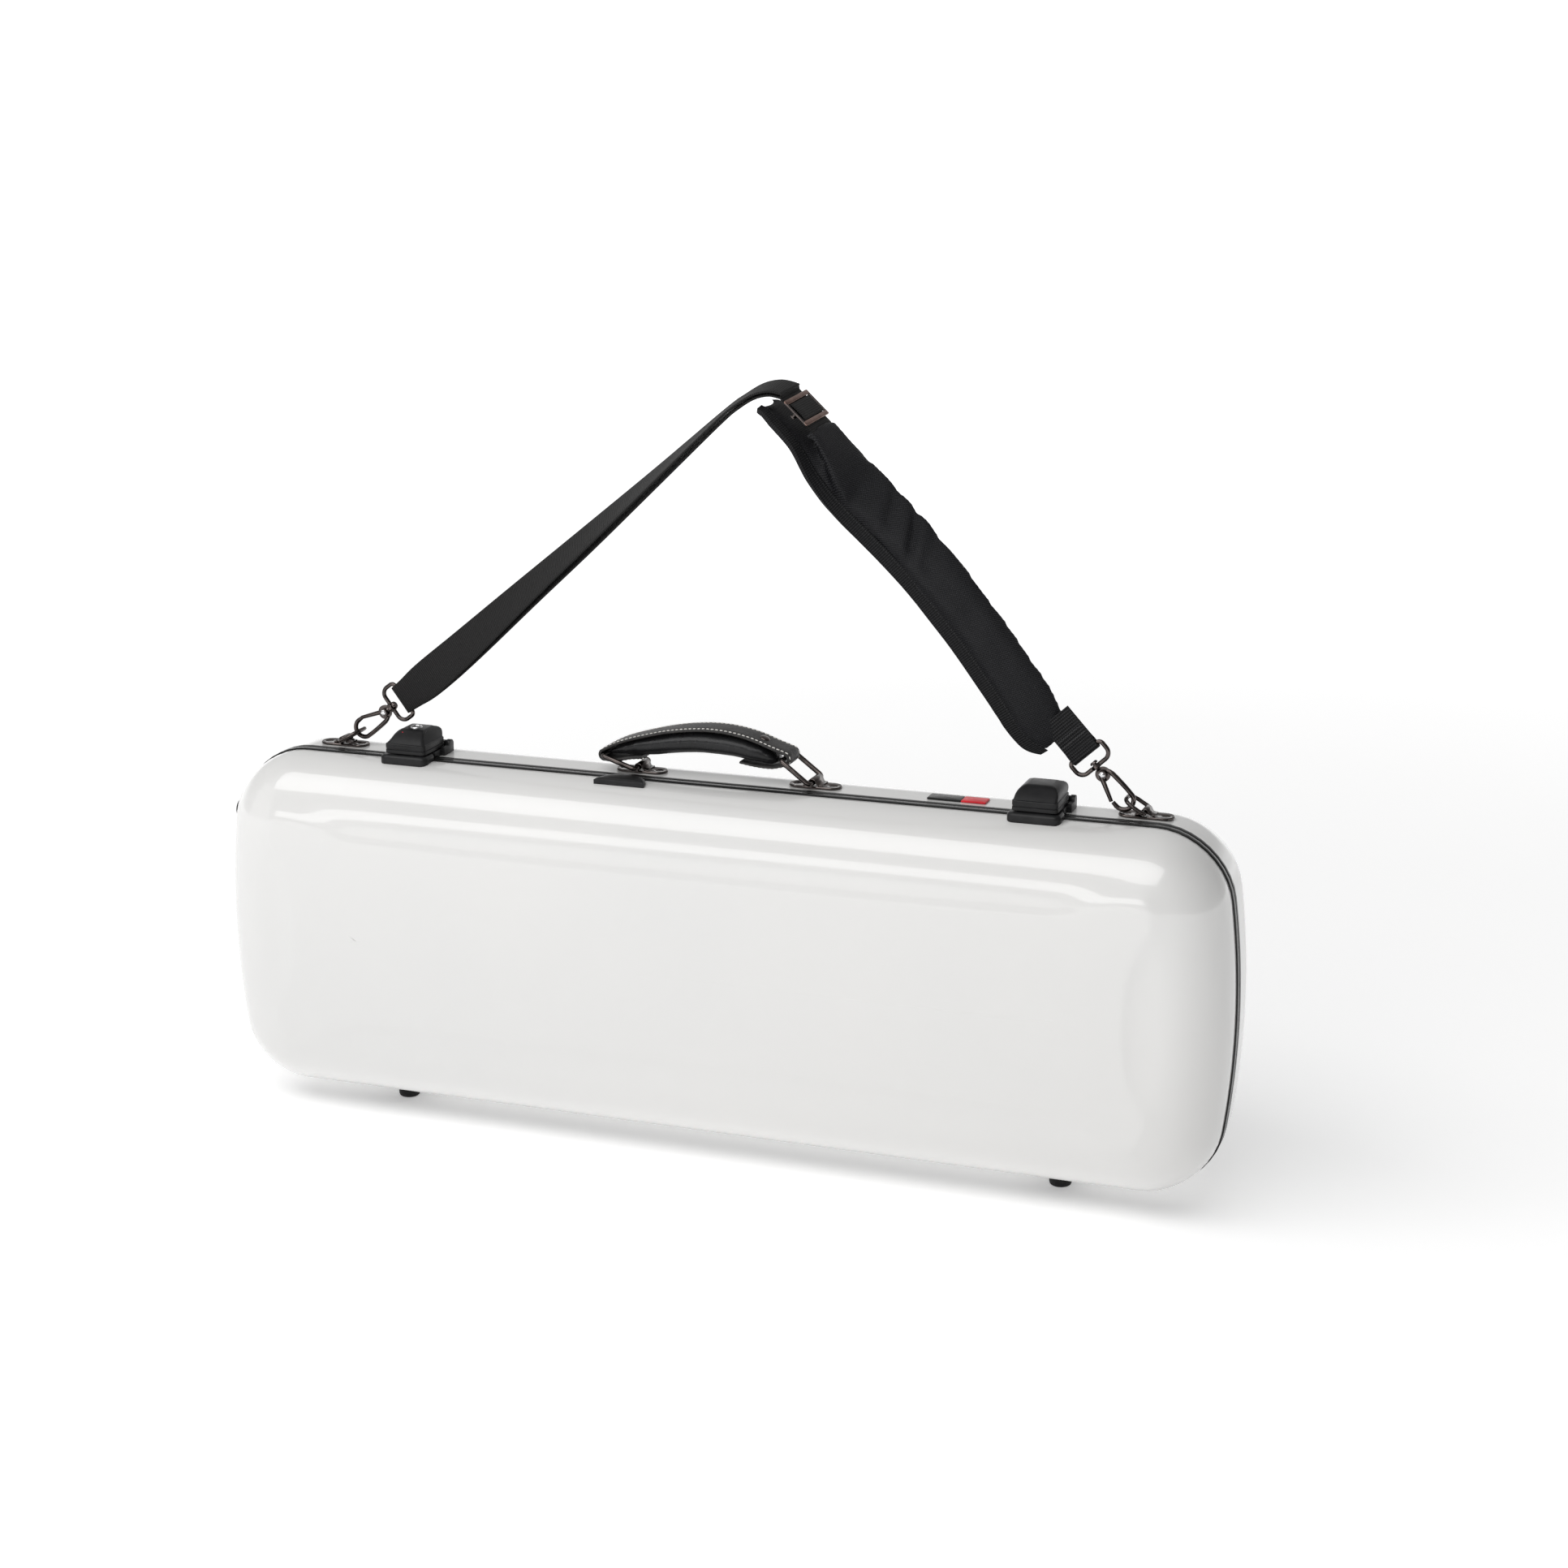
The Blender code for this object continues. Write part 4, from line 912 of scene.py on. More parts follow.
def clip_over(x, rise, loop_radius, half):
    """A strip of sheet that comes up from the plate, over the wire and down again."""
    inner = loop_radius + 0.35
    path = [(-7.2, 1.85), (-5.2, 1.95), (-inner - 1.5, 2.6)]
    for i in range(13):
        c, s = turn(165 - 12.5 * i)
        path.append((inner * c, rise + inner * s))
    path += [(inner + 1.5, 2.6), (5.2, 1.95), (7.2, 1.85)]
    rings = []
    for i, (px, pz) in enumerate(path):
        along = heading(path, i)
        up = Vector((-along.z, 0, along.x))
        centre = Vector((x + px, FITTING_Y, TOP + pz))
        narrow = half if 2 < i < len(path) - 3 else half * 0.86
        side = Vector((0, 1, 0))
        ring = []
        for across, high in CLIP_SECTION:
            ring.append(centre + side * across * narrow + up * high * CLIP_THICK)
        rings.append(ring)
    return loft("clip", rings, angle=60)


def tilted_loop(axis, angle, length, half_width, near_radius, far_radius, steps=9):
    """A closed path that leaves the axis at the given angle over the case top."""
    c, s = turn(angle)
    path = []
    for u, v, start, radius in (
        (length, half_width, 0, far_radius),
        (0, half_width, 90, near_radius),
        (0, -half_width, 180, near_radius),
        (length, -half_width, 270, far_radius),
    ):
        cu = u - radius if u else u + radius
        cv = v - radius if v > 0 else v + radius
        for i in range(steps + 1):
            ca, sa = turn(start + 90 / steps * i)
            along = cu + radius * ca
            path.append((axis[0] + along * c, axis[1] + cv + radius * sa, axis[2] + along * s))
    return path


LOOP_WIRE, RING_WIRE = 1.9, 1.5
LOOP_RISE, RING_RISE = 4.6, 4.3
for side in ("left", "right"):
    bracket(f"handle_bracket_{side}", LOOP_WIRE, LOOP_RISE, 8.4)
    bracket(f"strap_bracket_{side}", RING_WIRE, RING_RISE, 6.3)


def clip_axis(node, rise):
    """The middle of the wire held by a bracket's clip."""
    return Vector((middle_x(node), FITTING_Y, TOP + rise))


LEFT_AXIS = clip_axis("handle_bracket_left", LOOP_RISE)
RIGHT_AXIS = clip_axis("handle_bracket_right", LOOP_RISE)
RING_LEFT = clip_axis("strap_bracket_left", RING_RISE)
RING_RIGHT = clip_axis("strap_bracket_right", RING_RISE)
LOOP_LENGTH, RING_LENGTH = 27.5, 16.5
LEFT_ANGLE, RIGHT_ANGLE = 162, 143
RING_LEFT_ANGLE, RING_RIGHT_ANGLE = 30, 149
# Length, half width, radius of the near and far corners, radius of the wire
LOOP_SIZE = (LOOP_LENGTH, 14.5, 3, 3, LOOP_WIRE)
RING_SIZE = (RING_LENGTH, 10.5, 2.2, 7.5, RING_WIRE)
for node, axis, angle, size in (
    ("handle_loop_left", LEFT_AXIS, LEFT_ANGLE, LOOP_SIZE),
    ("handle_loop_right", RIGHT_AXIS, RIGHT_ANGLE, LOOP_SIZE),
    ("d_ring_left", RING_LEFT, RING_LEFT_ANGLE, RING_SIZE),
    ("d_ring_right", RING_RIGHT, RING_RIGHT_ANGLE, RING_SIZE),
):
    *shape, radius = size
    made = wire(node + "_wire", tilted_loop(axis, angle, *shape), radius, closed=True)
    finish_piece(made, "gunmetal", node, (node,))


def on_loop(axis, angle, length):
    c, s = turn(angle)
    return Vector((axis[0] + length * c, axis[1], axis[2] + length * s))


# ---------------------------------------------------------------- handle

GRIP_LEFT = on_loop(LEFT_AXIS, LEFT_ANGLE, LOOP_LENGTH)
GRIP_RIGHT = on_loop(RIGHT_AXIS, RIGHT_ANGLE, LOOP_LENGTH)
STRAP_TOP = (
    (-78, 156.2),
    (-60, 162.3),
    (-35, 168.6),
    (-10, 171.8),
    (10, 171.3),
    (28, 168),
    (43, 163),
)


def strap_path():
    """(x, z) of the strap's middle: under the left bar, over the roll, round the right bar."""
    path = [(-58, 147.2), (-68, 146.0), (-80, 143.2)]
    for i in range(9):
        c, s = turn(262 - 18 * i)
        path.append((GRIP_LEFT.x + 3.5 * c, GRIP_LEFT.z + 3.5 * s))
    path += STRAP_TOP
    for i in range(9):
        c, s = turn(74 - 19 * i)
        path.append((GRIP_RIGHT.x + 4.7 * c, GRIP_RIGHT.z + 4.7 * s))
    path += [(46, 148.0), (40, 147.4), (30, 148.0), (19, 149.6)]
    return eased(path, 5)


def strap_half_width(i, count):
    """The strap narrows towards the lap that runs back under it."""
    x = i / count
    lap = clamp((x - 0.86) / 0.06)
    return 12 - 2 * lap


STRAP_SECTION = (
    (-1, 0.0),
    (-0.99, -0.32),
    (-0.95, -0.5),
    (0.95, -0.5),
    (0.99, -0.32),
    (1, 0.0),
    (0.99, 0.36),
    (0.95, 0.5),
    (0.9, 0.42),
    (0.8, 0.42),
    (0.74, 0.55),
    (0.4, 0.62),
    (0, 0.64),
    (-0.4, 0.62),
    (-0.74, 0.55),
    (-0.8, 0.42),
    (-0.9, 0.42),
    (-0.95, 0.5),
    (-0.99, 0.36),
)


def handle_strap():
    path = strap_path()
    count = len(path)
    rings = []
    stitches = []
    for i, (x, z) in enumerate(path):
        along = heading(path, i)
        up = Vector((-along.z, 0, along.x))
        centre = Vector((x, FITTING_Y, z))
        half = strap_half_width(i, count)
        thick = 2.1 if half > 11.9 else 1.5
        ring = []
        for across, high in STRAP_SECTION:
            ring.append(centre + Vector((0, across * half, 0)) + up * high * thick)
        rings.append(ring)
        stitches.append((centre, along, up, half, thick))
    skin = loft("strap_skin", rings, angle=50)
    finish_piece(skin, "strap_leather", "handle", ("handle_strap",))
    place_stitches(stitches)


def walk(rows, pitch):
    """Places at an even pitch along rows that start with a place, each with its row's rest."""
    due = 0.0
    for (a, *rest), (b, *_) in zip(rows, rows[1:]):
        step = (b - a).length
        while due <= step:
            yield a.lerp(b, due / step if step else 0), rest
            due += pitch
        due -= step


def stitch(mesh, place, axes, half_size, subdivisions):
    """Adds one thread: a long ball whose half sizes lie along the three axes."""
    matrix = Matrix.Translation(place) @ Matrix(axes).transposed().to_4x4()
    matrix = matrix @ Matrix.Diagonal((*half_size, 1))
    bmesh.ops.create_icosphere(mesh, subdivisions=subdivisions, radius=1, matrix=matrix)


def place_stitches(spine):
    """White thread in short stitches along both edges of the strap."""
    pitch, length = 3.5, 2.7
    mesh = bmesh.new()
    for spot, (along, up, half, thick) in walk(spine, pitch):
        for end in (-1, 1):
            edge = spot + Vector((0, end * half * 0.86, 0)) + up * (0.5 * thick)
            stitch(mesh, edge, (along, along.cross(up), up), (length / 2, 0.72, 0.5), 2)
    finish_piece(mesh_object("strap_stitching", mesh), "white_thread", "handle")


handle_strap()

# Places along the padded roll: x, z, half height, half width
GRIP_STATIONS = (
    (-86, 148.2, 1.4, 7.0),
    (-83, 149.2, 2.8, 8.6),
    (-77, 151.0, 4.5, 10.4),
    (-69, 152.9, 6.0, 11.6),
    (-60, 154.4, 7.1, 12.4),
    (-48, 156.3, 7.8, 13.2),
    (-35, 158.8, 8.1, 13.9),
    (-22, 160.7, 8.3, 14.4),
    (-10, 161.6, 8.4, 14.7),
    (10, 161.1, 8.4, 14.7),
    (20, 159.9, 8.2, 14.2),
    (28, 158.3, 7.9, 13.4),
    (37, 156.0, 6.8, 11.8),
    (43, 154.2, 5.2, 10.0),
    (46.5, 153.0, 2.6, 7.0),
)


def handle_roll():
    rings = []
    stations = eased(GRIP_STATIONS, 7)
    sides = 44
    for x, z, half_height, half_width in stations:
        crumple = clamp((abs(x + 14) - 34) / 20, 0.12)
        ring = []
        for i in range(sides):
            c, s = turn(360 * i / sides)
            wrinkle = noise.noise(Vector((x * 0.16, c * 1.4, s * 1.4)))
            wrinkle += 0.5 * noise.noise(Vector((x * 0.42 + 9, c * 2.2, s * 2.2)))
            grow = 1 - 0.055 * crumple * (wrinkle + 0.6)
            y = FITTING_Y + half_width * signed_power(c, 0.85) * grow
            ring.append((x, y, z + half_height * signed_power(s, 0.9) * grow))
        rings.append(ring)
    roll = loft("handle_roll", rings, angle=70)
    finish_piece(roll, "roll_leather", "handle", ("handle_grip",))


handle_roll()

rivet_low, rivet_high = node_span("handle_rivet")
rivet_base = Vector(((rivet_low.x + rivet_high.x) / 2 - 0.8, FITTING_Y, rivet_low.z + 0.9))
rivet_top = rivet_base + Vector((0.9, 0, 2.2))
rivet = turned(
    "handle_rivet_dome",
    rivet_base,
    rivet_top,
    ((0, 4.1), (0.25, 4.1), (0.5, 3.8), (0.75, 3.0), (0.92, 1.9), (1, 0.9)),
)
finish_piece(rivet, "gunmetal", "handle", ("handle_rivet",))


# ---------------------------------------------------------------- snap hooks

HOOK_RADIUS = 7.2
EYE_LENGTH, EYE_HALF_WIDTH = 13, 14.5


def snap_hook(side, ring_end, down, offset_along, offset_across):
    """A swivel snap hook hung on the far side of its D-ring; returns its strap bar."""
    a = Vector((down[0], 0, down[1])).normalized()
    p = Vector((-a.z, 0, a.x))
    arc_centre = ring_end - a * offset_along - p * offset_across
    head = arc_centre - a * 23

    def at(along, across, deep=0.0):
        return head + a * along + p * across + Vector((0, deep, 0))

    path = [at(-0.5, 4.6), at(1.5, 5.5), at(4, 6.1), at(8, 6.5), at(13, 6.85), at(18, 7.1)]
    radii = [0.8, 0.95, 1.05, 1.05, 1.02, 1.0]
    for i in range(1, 19):
        c, s = turn(10 * i)
        path.append(arc_centre + HOOK_RADIUS * (p * c + a * s))
        radii.append(1.0)
    path.append(at(19.6, -HOOK_RADIUS))
    radii.append(0.85)
    body = wire(f"hook_{side}_frame", path, 1.75, radii=radii)
    cheek_profile = ((0, 5.5), (0.75, 5.5), (0.93, 5.1), (1, 4.4))
    cheek = turned("cheek", at(0, 0, 0.3), at(0, 0, 2.7), cheek_profile)
    rivet_profile = ((0, 2.2), (0.35, 2.2), (0.7, 1.7), (1, 0.9))
    pin = turned("pin", at(0, 0, -2.6), at(0, 0, -3.5), rivet_profile, 24)
    post = turned("post", at(0, 0, 1.5), at(0, 0, -2.7), ((0, 1.15), (1, 1.15)), 20)
    neck_profile = ((0, 2.6), (0.15, 1.9), (0.3, 1.6), (1, 1.6))
    neck = turned("neck", at(-3.6, 0, 1.4), at(-9.9, 0, 1.4), neck_profile, 24)
    button = ((0, 2.7), (0.15, 3.05), (0.6, 2.95), (1, 2.2))
    cap = turned("cap", at(-9.5, 0, 1.4), at(-11.4, 0, 1.4), button, 28)
    bright = painted(pin, "chrome")
    dark = [painted(part, "gunmetal") for part in (body, cheek, post, neck, cap)]
    whole = joined(f"hook_{side}_metal", *dark, bright)
    finish_piece(whole, None, f"hook_{side}", (f"hook_{side}_body",))

    eye_profile = ((0, 3.0), (0.1, 3.15), (0.9, 3.15), (1, 3.0))
    eye = turned("gate_eye", at(0, 0, -2.7), at(0, 0, -0.3), eye_profile)
    finger_path = [at(0.5 + 2.0 * i, -1.2 - 0.68 * i, -1.5) for i in range(10)]
    finger = wire("finger", finger_path, 1.7, radii=[1.1 - 0.03 * i for i in range(10)])
    gate = joined(f"hook_{side}_gate_metal", eye, finger)
    finish_piece(gate, "gunmetal", f"hook_{side}_gate", (f"hook_{side}_gate",))

    centre = at(-7.3, 0, 1.4)
    frame_path = []
    corners = ((0, 1, 90, 6), (-EYE_LENGTH, 1, 0, 3), (-EYE_LENGTH, -1, 270, 3), (0, -1, 180, 6))
    for along, sign, start, radius in corners:
        ca = along + radius if along else along - radius
        cp = sign * (EYE_HALF_WIDTH - radius)
        for i in range(10):
            c, s = turn(start - 10 * i)
            frame_path.append(centre + a * (ca + radius * s) + p * (cp + radius * c))
    eye_wire = wire("eye_wire", frame_path, 1.65, closed=True)
    collar_profile = ((0, 3.4), (0.15, 3.9), (0.85, 3.9), (1, 3.4))
    collar = turned("collar", centre + a * 1.7, centre - a * 1.6, collar_profile, 28)
    swivel = joined(f"hook_{side}_eye_metal", eye_wire, collar)
    finish_piece(swivel, "gunmetal", "case", (f"hook_{side}_eye",))
    return centre - a * EYE_LENGTH, a


left_ring_end = on_loop(RING_LEFT, RING_LEFT_ANGLE, RING_LENGTH)
right_ring_end = on_loop(RING_RIGHT, RING_RIGHT_ANGLE, RING_LENGTH)
LEFT_BAR, LEFT_DOWN = snap_hook("left", left_ring_end, (-0.8, -0.6), 3.0, 0)
RIGHT_BAR, RIGHT_DOWN = snap_hook("right", right_ring_end, (0.676, -0.737), 0.4, 3.2)


# ---------------------------------------------------------------- shoulder strap

WEB_THICK = 1.6
TAPE_SECTION = (
    (-1, 0),
    (-0.985, -0.4),
    (-0.95, -0.5),
    (-0.5, -0.46),
    (0, -0.46),
    (0.5, -0.46),
    (0.95, -0.5),
    (0.985, -0.4),
    (1, 0),
    (0.985, 0.4),
    (0.95, 0.5),
    (0.5, 0.46),
    (0, 0.46),
    (-0.5, 0.46),
    (-0.95, 0.5),
    (-0.985, 0.4),
)


def ribbon_frame(rows, i):
    """Position, direction, width direction and outer normal at one row of a ribbon."""
    along = heading(rows, i)
    c, s = turn(rows[i][2])
    width = Vector((-along.z * c, s, along.x * c))
    centre = Vector((rows[i][0], SWIVEL_Y, rows[i][1]))
    return centre, along, width, along.cross(width)


def tape_ring(centre, width, normal, thick=WEB_THICK):
    """A tape's section; width reaches from the middle to its edge."""
    return [centre + width * across + normal * high * thick for across, high in TAPE_SECTION]


def folded_tape(rows, outer_stop):
    """Rings of a tape folded round the bar at the first row; its outer layer may stop short."""
    outer, inner = [], []
    for i, row in enumerate(rows):
        centre, _, width, normal = ribbon_frame(rows, i)
        width, offset = width * row[3], normal * row[4]
        outer.append(tape_ring(centre + offset, width, normal))
        inner.append(tape_ring(centre - offset, width, -normal))
    centre, along, width, normal = ribbon_frame(rows, 0)
    fold = []
    for i in range(1, 12):
        c, s = turn(15 * i)
        facing = normal * c - along * s
        fold.append(tape_ring(centre + facing * rows[0][4], width * rows[0][3], facing))
    stop = len(outer) - outer_stop
    return list(reversed(outer[:stop])) + fold + inner


def tape(name, rings, half_width, look, body, nodes=()):
    across = [share * half_width for share, _ in TAPE_SECTION]
    made = loft(name, rings, angle=60, across=across)
    return finish_piece(made, look, body, nodes)


def flat_place(vector):
    return vector.x, vector.z


ADJUSTER = Vector((67, 0, 410.6))
ADJUSTER_DOWN = Vector((0.728, 0, -0.685)).normalized()
WEB_ROWS = (
    (*flat_place(LEFT_BAR), 0, 11.7, 2.85),
    (*flat_place(LEFT_BAR - LEFT_DOWN * 8), 2, 12.5, 2.5),
    (-241, 190, 6, 14.4, 2),
    (-209, 216.3, 24, 15, 2),
    (-153.4, 264.4, 44, 15, 2.2),
    (-99.4, 310.8, 57, 15, 2.2),
    (-46.9, 356.8, 69, 15, 2),
    (4, 402, 78, 15, 1.7),
    (19, 413.6, 80, 15, 1.5),
    (32, 421.3, 80, 15, 1.4),
    (44, 424, 80, 15, 1.4),
    (*flat_place(ADJUSTER - 17 * ADJUSTER_DOWN), 80, 15, 1.4),
)
WEB_TAIL = (
    (*flat_place(ADJUSTER + 17 * ADJUSTER_DOWN), 80, 15, 1.4),
    (*flat_place(ADJUSTER + 27 * ADJUSTER_DOWN + Vector((-2.5, 0, -2.5))), 80, 14.5, 1.4),
)
web_rows = eased(WEB_ROWS, 9) + list(WEB_TAIL)
tape("strap_tape", folded_tape(web_rows, len(WEB_TAIL)), 15, "webbing", "case", ("strap_webbing",))

twist_c, twist_s = turn(80)
ACROSS = Vector((-ADJUSTER_DOWN.z * twist_c, twist_s, ADJUSTER_DOWN.x * twist_c))
AWAY = ADJUSTER_DOWN.cross(ACROSS)
ADJUSTER_MIDDLE = Vector((ADJUSTER.x, SWIVEL_Y, ADJUSTER.z)) - AWAY * 1.4


def by_adjuster(along, across, away):
    """A place in the adjuster's own axes."""
    return ADJUSTER_MIDDLE + ADJUSTER_DOWN * along + ACROSS * across + AWAY * away


def adjuster_bar(name, along, away, wide, thick):
    """A flat bar across the strap, with rounded long edges."""
    rings = []
    half = ((17.2, 1), (17.9, 0.85), (18.3, 0.5))
    for across, shrink in (*((-place, share) for place, share in reversed(half)), *half):
        ring = []
        for i in range(16):
            c, s = turn(22.5 * i)
            forth = signed_power(c, 0.45) * wide * shrink
            out = signed_power(s, 0.6) * thick * shrink
            ring.append(by_adjuster(along + forth, across, away + out))
        rings.append(ring)
    return loft(name, rings, angle=50)


def adjuster():
    upper = adjuster_bar("upper", -10.1, 2.0, 1.9, 0.85)
    lower = adjuster_bar("lower", 10.1, 2.0, 1.9, 0.85)
    under = adjuster_bar("under", 0, -2.0, 1.9, 0.8)
    rods = []
    for side in (-17.4, 17.4):
        rod = [by_adjuster(along, side, 1.7) for along in (-10.4, 0, 10.4)]
        post = [by_adjuster(0, side, away) for away in (1.7, 0, -2.0)]
        rods += [wire("rod", rod, 1.05), wire("post", post, 1.05)]
    copper = [painted(bar, "copper") for bar in (upper, lower)]
    dark = [painted(part, "gunmetal") for part in (under, *rods)]
    whole = joined("strap_adjuster_metal", *copper, *dark)
    finish_piece(whole, None, "adjuster", ("strap_adjuster",))


adjuster()

# The strap that shows between the adjuster's bars stands up over the middle one.
hump_rows = []
for i in range(13):
    c, s = turn(-90 + 15 * i)
    lift = 0.95 + 1.9 * max(c, 0) ** 0.6
    hump_rows.append(tape_ring(by_adjuster(8.0 * s, 0, lift), ACROSS * 14.6, AWAY, 1.0))
tape("adjuster_strap_hump", hump_rows, 14.6, "webbing", "adjuster")
ramp_rows = []
for i in range(9):
    t = i / 8
    fall = eased_share(t)
    place = by_adjuster(-18.5 + 3.1 * t, 0, 2.85 - 2.0 * fall)
    ramp_rows.append(tape_ring(place, ACROSS * 15, AWAY, WEB_THICK - 0.7 * fall))
tape("strap_lap", ramp_rows, 15, "webbing", "case")


# ---------------------------------------------------------------- shoulder pad

# Rows of the pad: x, z, twist, half width, half thickness
PAD_ROWS = (
    (34, 412, 80, 13, 1.8),
    (43, 409.5, 80, 19, 3.6),
    (54, 401.5, 79, 23, 5.4),
    (69, 387.5, 76, 24, 6.2),
    (86, 370.5, 57, 25, 7),
    (108, 351.5, 32, 25, 7),
    (147, 314, 14, 23.5, 7),
    (190, 265.5, 12, 23, 7),
    (225, 219.5, 12, 23, 6.4),
    (238, 199.5, 12, 22, 5.6),
    (247, 185.5, 12, 18, 4.8),
    (252.5, 177, 12, 9, 3.2),
)
PAD_SPINE = eased(PAD_ROWS, 8)
PAD_FRAMES = [ribbon_frame(PAD_SPINE, i) for i in range(len(PAD_SPINE))]
PAD_LENGTHS = [0.0]
for (a, *_), (b, *_) in zip(PAD_FRAMES, PAD_FRAMES[1:]):
    PAD_LENGTHS.append(PAD_LENGTHS[-1] + (b - a).length)
PAD_EDGE = 0.6
# Creases across the pad: share of its length, spread, depth in mm, and slant
PAD_CREASES = (
    (0.37, 0.020, 2.8, 0.045),
    (0.44, 0.016, 3.8, 0.055),
    (0.50, 0.024, 2.4, 0.04),
    (0.30, 0.03, 1.1, -0.02),
    (0.66, 0.035, 1.1, 0.03),
    (0.80, 0.03, 0.8, -0.02),
)


def pad_cushion():
    """The stuffed body of the pad: full on the far side, thin where the binding grips it."""
    rings = []
    last = len(PAD_SPINE) - 1
    for i in range(1, last + 1):
        centre, _, width, normal = PAD_FRAMES[i]
        half, thick = PAD_SPINE[i][3], PAD_SPINE[i][4]
        taper = min(1, 0.3 + min(i - 1, last - i) * 0.14)
        ring = []
        for k in range(24):
            c, s = turn(15 * k)
            u = half * (0.03 + 0.94 * signed_power(c, 0.75))
            fullness = clamp((u / half + 0.92) / 0.55, 0.16)
            v = 0.62 * thick * taper * fullness * signed_power(s, 0.7)
            ring.append(centre + width * u + normal * v)
        rings.append(ring)
    return loft("pad_cushion", rings)


def pad_sleeve():
    """The top of the pad's cover, which takes in the strap just below the adjuster."""
    rings = []
    goal_centre, _, goal_width, goal_normal = PAD_FRAMES[40]
    for i in range(15):
        t = i / 14
        start = by_adjuster(14.2 + 50 * t, -1.5, 0.2)
        centre = start.lerp(goal_centre, eased_share(t))
        width = ACROSS.lerp(goal_width, t).normalized()
        normal = AWAY.lerp(goal_normal, t).normalized()
        swell = t * (1 - t**4)
        half, thick = 16.6 + 5 * swell, 1.7 + 3.6 * swell
        ring = []
        for k in range(20):
            c, s = turn(18 * k)
            across = half * signed_power(c, 0.6)
            ring.append(centre + width * across + normal * thick * signed_power(s, 0.6))
        rings.append(ring)
    return loft("pad_sleeve", rings)


# The cloth is worked out at this scale: in millimetres it doesn't settle
CLOTH_SCALE = 0.01
CLOTH_QUALITY = 12
CLOTH_FRAMES = 20
LEAST_SHIFT = 0.01


def inflated(obj, voxel, pressure, cap):
    """The piece blown up like a stuffed cushion, no point moving more than cap."""
    step = obj.modifiers.new("grid", "REMESH")
    step.mode = "VOXEL"
    step.voxel_size = voxel
    calm = obj.modifiers.new("calm", "SMOOTH")
    calm.factor = 0.5
    calm.iterations = 8
    obj = baked(obj)
    start = [vertex.co.copy() for vertex in obj.data.vertices]
    obj.data.transform(Matrix.Scale(CLOTH_SCALE, 4))
    cloth = obj.modifiers.new("stuffing", "CLOTH")
    cloth.settings.quality = CLOTH_QUALITY
    cloth.settings.use_pressure = True
    cloth.settings.uniform_pressure_force = pressure
    cloth.settings.effector_weights.gravity = 0
    cloth.point_cache.frame_start = 1
    cloth.point_cache.frame_end = CLOTH_FRAMES
    for frame_number in range(1, CLOTH_FRAMES + 1):
        bpy.context.scene.frame_set(frame_number)
    graph = bpy.context.evaluated_depsgraph_get()
    moved = [vertex.co / CLOTH_SCALE for vertex in obj.evaluated_get(graph).data.vertices]
    obj.modifiers.clear()
    for vertex, before, after in zip(obj.data.vertices, start, moved):
        shift = after - before
        vertex.co = before + shift * min(cap / max(shift.length, LEAST_SHIFT), 1)
    bpy.context.scene.frame_set(1)
    return obj


def smoothed(obj):
    step = obj.modifiers.new("smooth", "SUBSURF")
    step.levels = step.render_levels = 1
    return baked(obj)


def pad_place(point):
    """A point's row on the pad, and its distances along, across and out from the spine."""
    row = min(range(len(PAD_FRAMES)), key=lambda i: (point - PAD_FRAMES[i][0]).length_squared)
    centre, along, width, normal = PAD_FRAMES[row]
    away = point - centre
    return row, PAD_LENGTHS[row] + away.dot(along), away.dot(width), away.dot(normal)


def crease_pad(obj):
    """Presses the soft folds into the pad where it bends over, and lays its weave's map."""
    places = []
    for vertex in obj.data.vertices:
        point = vertex.co.copy()
        row, along, u, v = pad_place(point)
        width, normal = PAD_FRAMES[row][2:]
        half = PAD_SPINE[row][3]
        share = along / PAD_LENGTHS[-1]
        press = 0.0
        for place, spread, depth, slant in PAD_CREASES:
            off = (share + slant * (u / half - 0.4) - place) / spread
            press += depth * math.exp(-off * off) * clamp((u / half + 0.5) / 0.5)
        ripple = noise.noise(Vector((share * 16, u * 0.05, 0.3)))
        side = 1 if v > 0 else -1
        point -= normal * side * min(press, abs(v) * 0.7)
        point += normal * side * ripple * 0.7
        if u > 0:
            point -= width * press * 0.55 * (u / half) ** 2
        grip = clamp((-u / half - PAD_EDGE + 0.12) / 0.16)
        if along > 12 and grip and abs(v) > 1.0:
            point -= normal * side * (abs(v) - 1.0) * grip
        vertex.co = point
        places.append((along, u))
    layer = obj.data.uv_layers.new(name="UVMap")
    for corner in obj.data.loops:
        along, u = places[corner.vertex_index]
        layer.data[corner.index].uv = (u * MM, along * MM)


cushion = joined("pad_cushion_whole", pad_cushion(), pad_sleeve())
cushion = smoothed(inflated(cushion, voxel=3.0, pressure=0.2, cap=2.2))
crease_pad(cushion)
cushion.name = "shoulder_pad_cushion"
finish_piece(cushion, "twill", "case", ("shoulder_pad",))


def binding_rings():
    """The ribbed tape folded round the pad's lower edge, from its top to its end."""
    rings = []
    for i in range(2, len(PAD_SPINE) - 1):
        centre, _, width, normal = PAD_FRAMES[i]
        half = PAD_SPINE[i][3]
        reach = min(5.2, half * 0.3)
        wobble = noise.noise(Vector((i * 0.31, 0.5, 0)))
        middle = centre - width * (half - reach + 0.3 * wobble) + normal * 0.5 * wobble
        rings.append(tape_ring(middle, width * reach, normal, 3.6))
    return rings


tape("shoulder_pad_binding", binding_rings(), 5.2, "binding", "case")


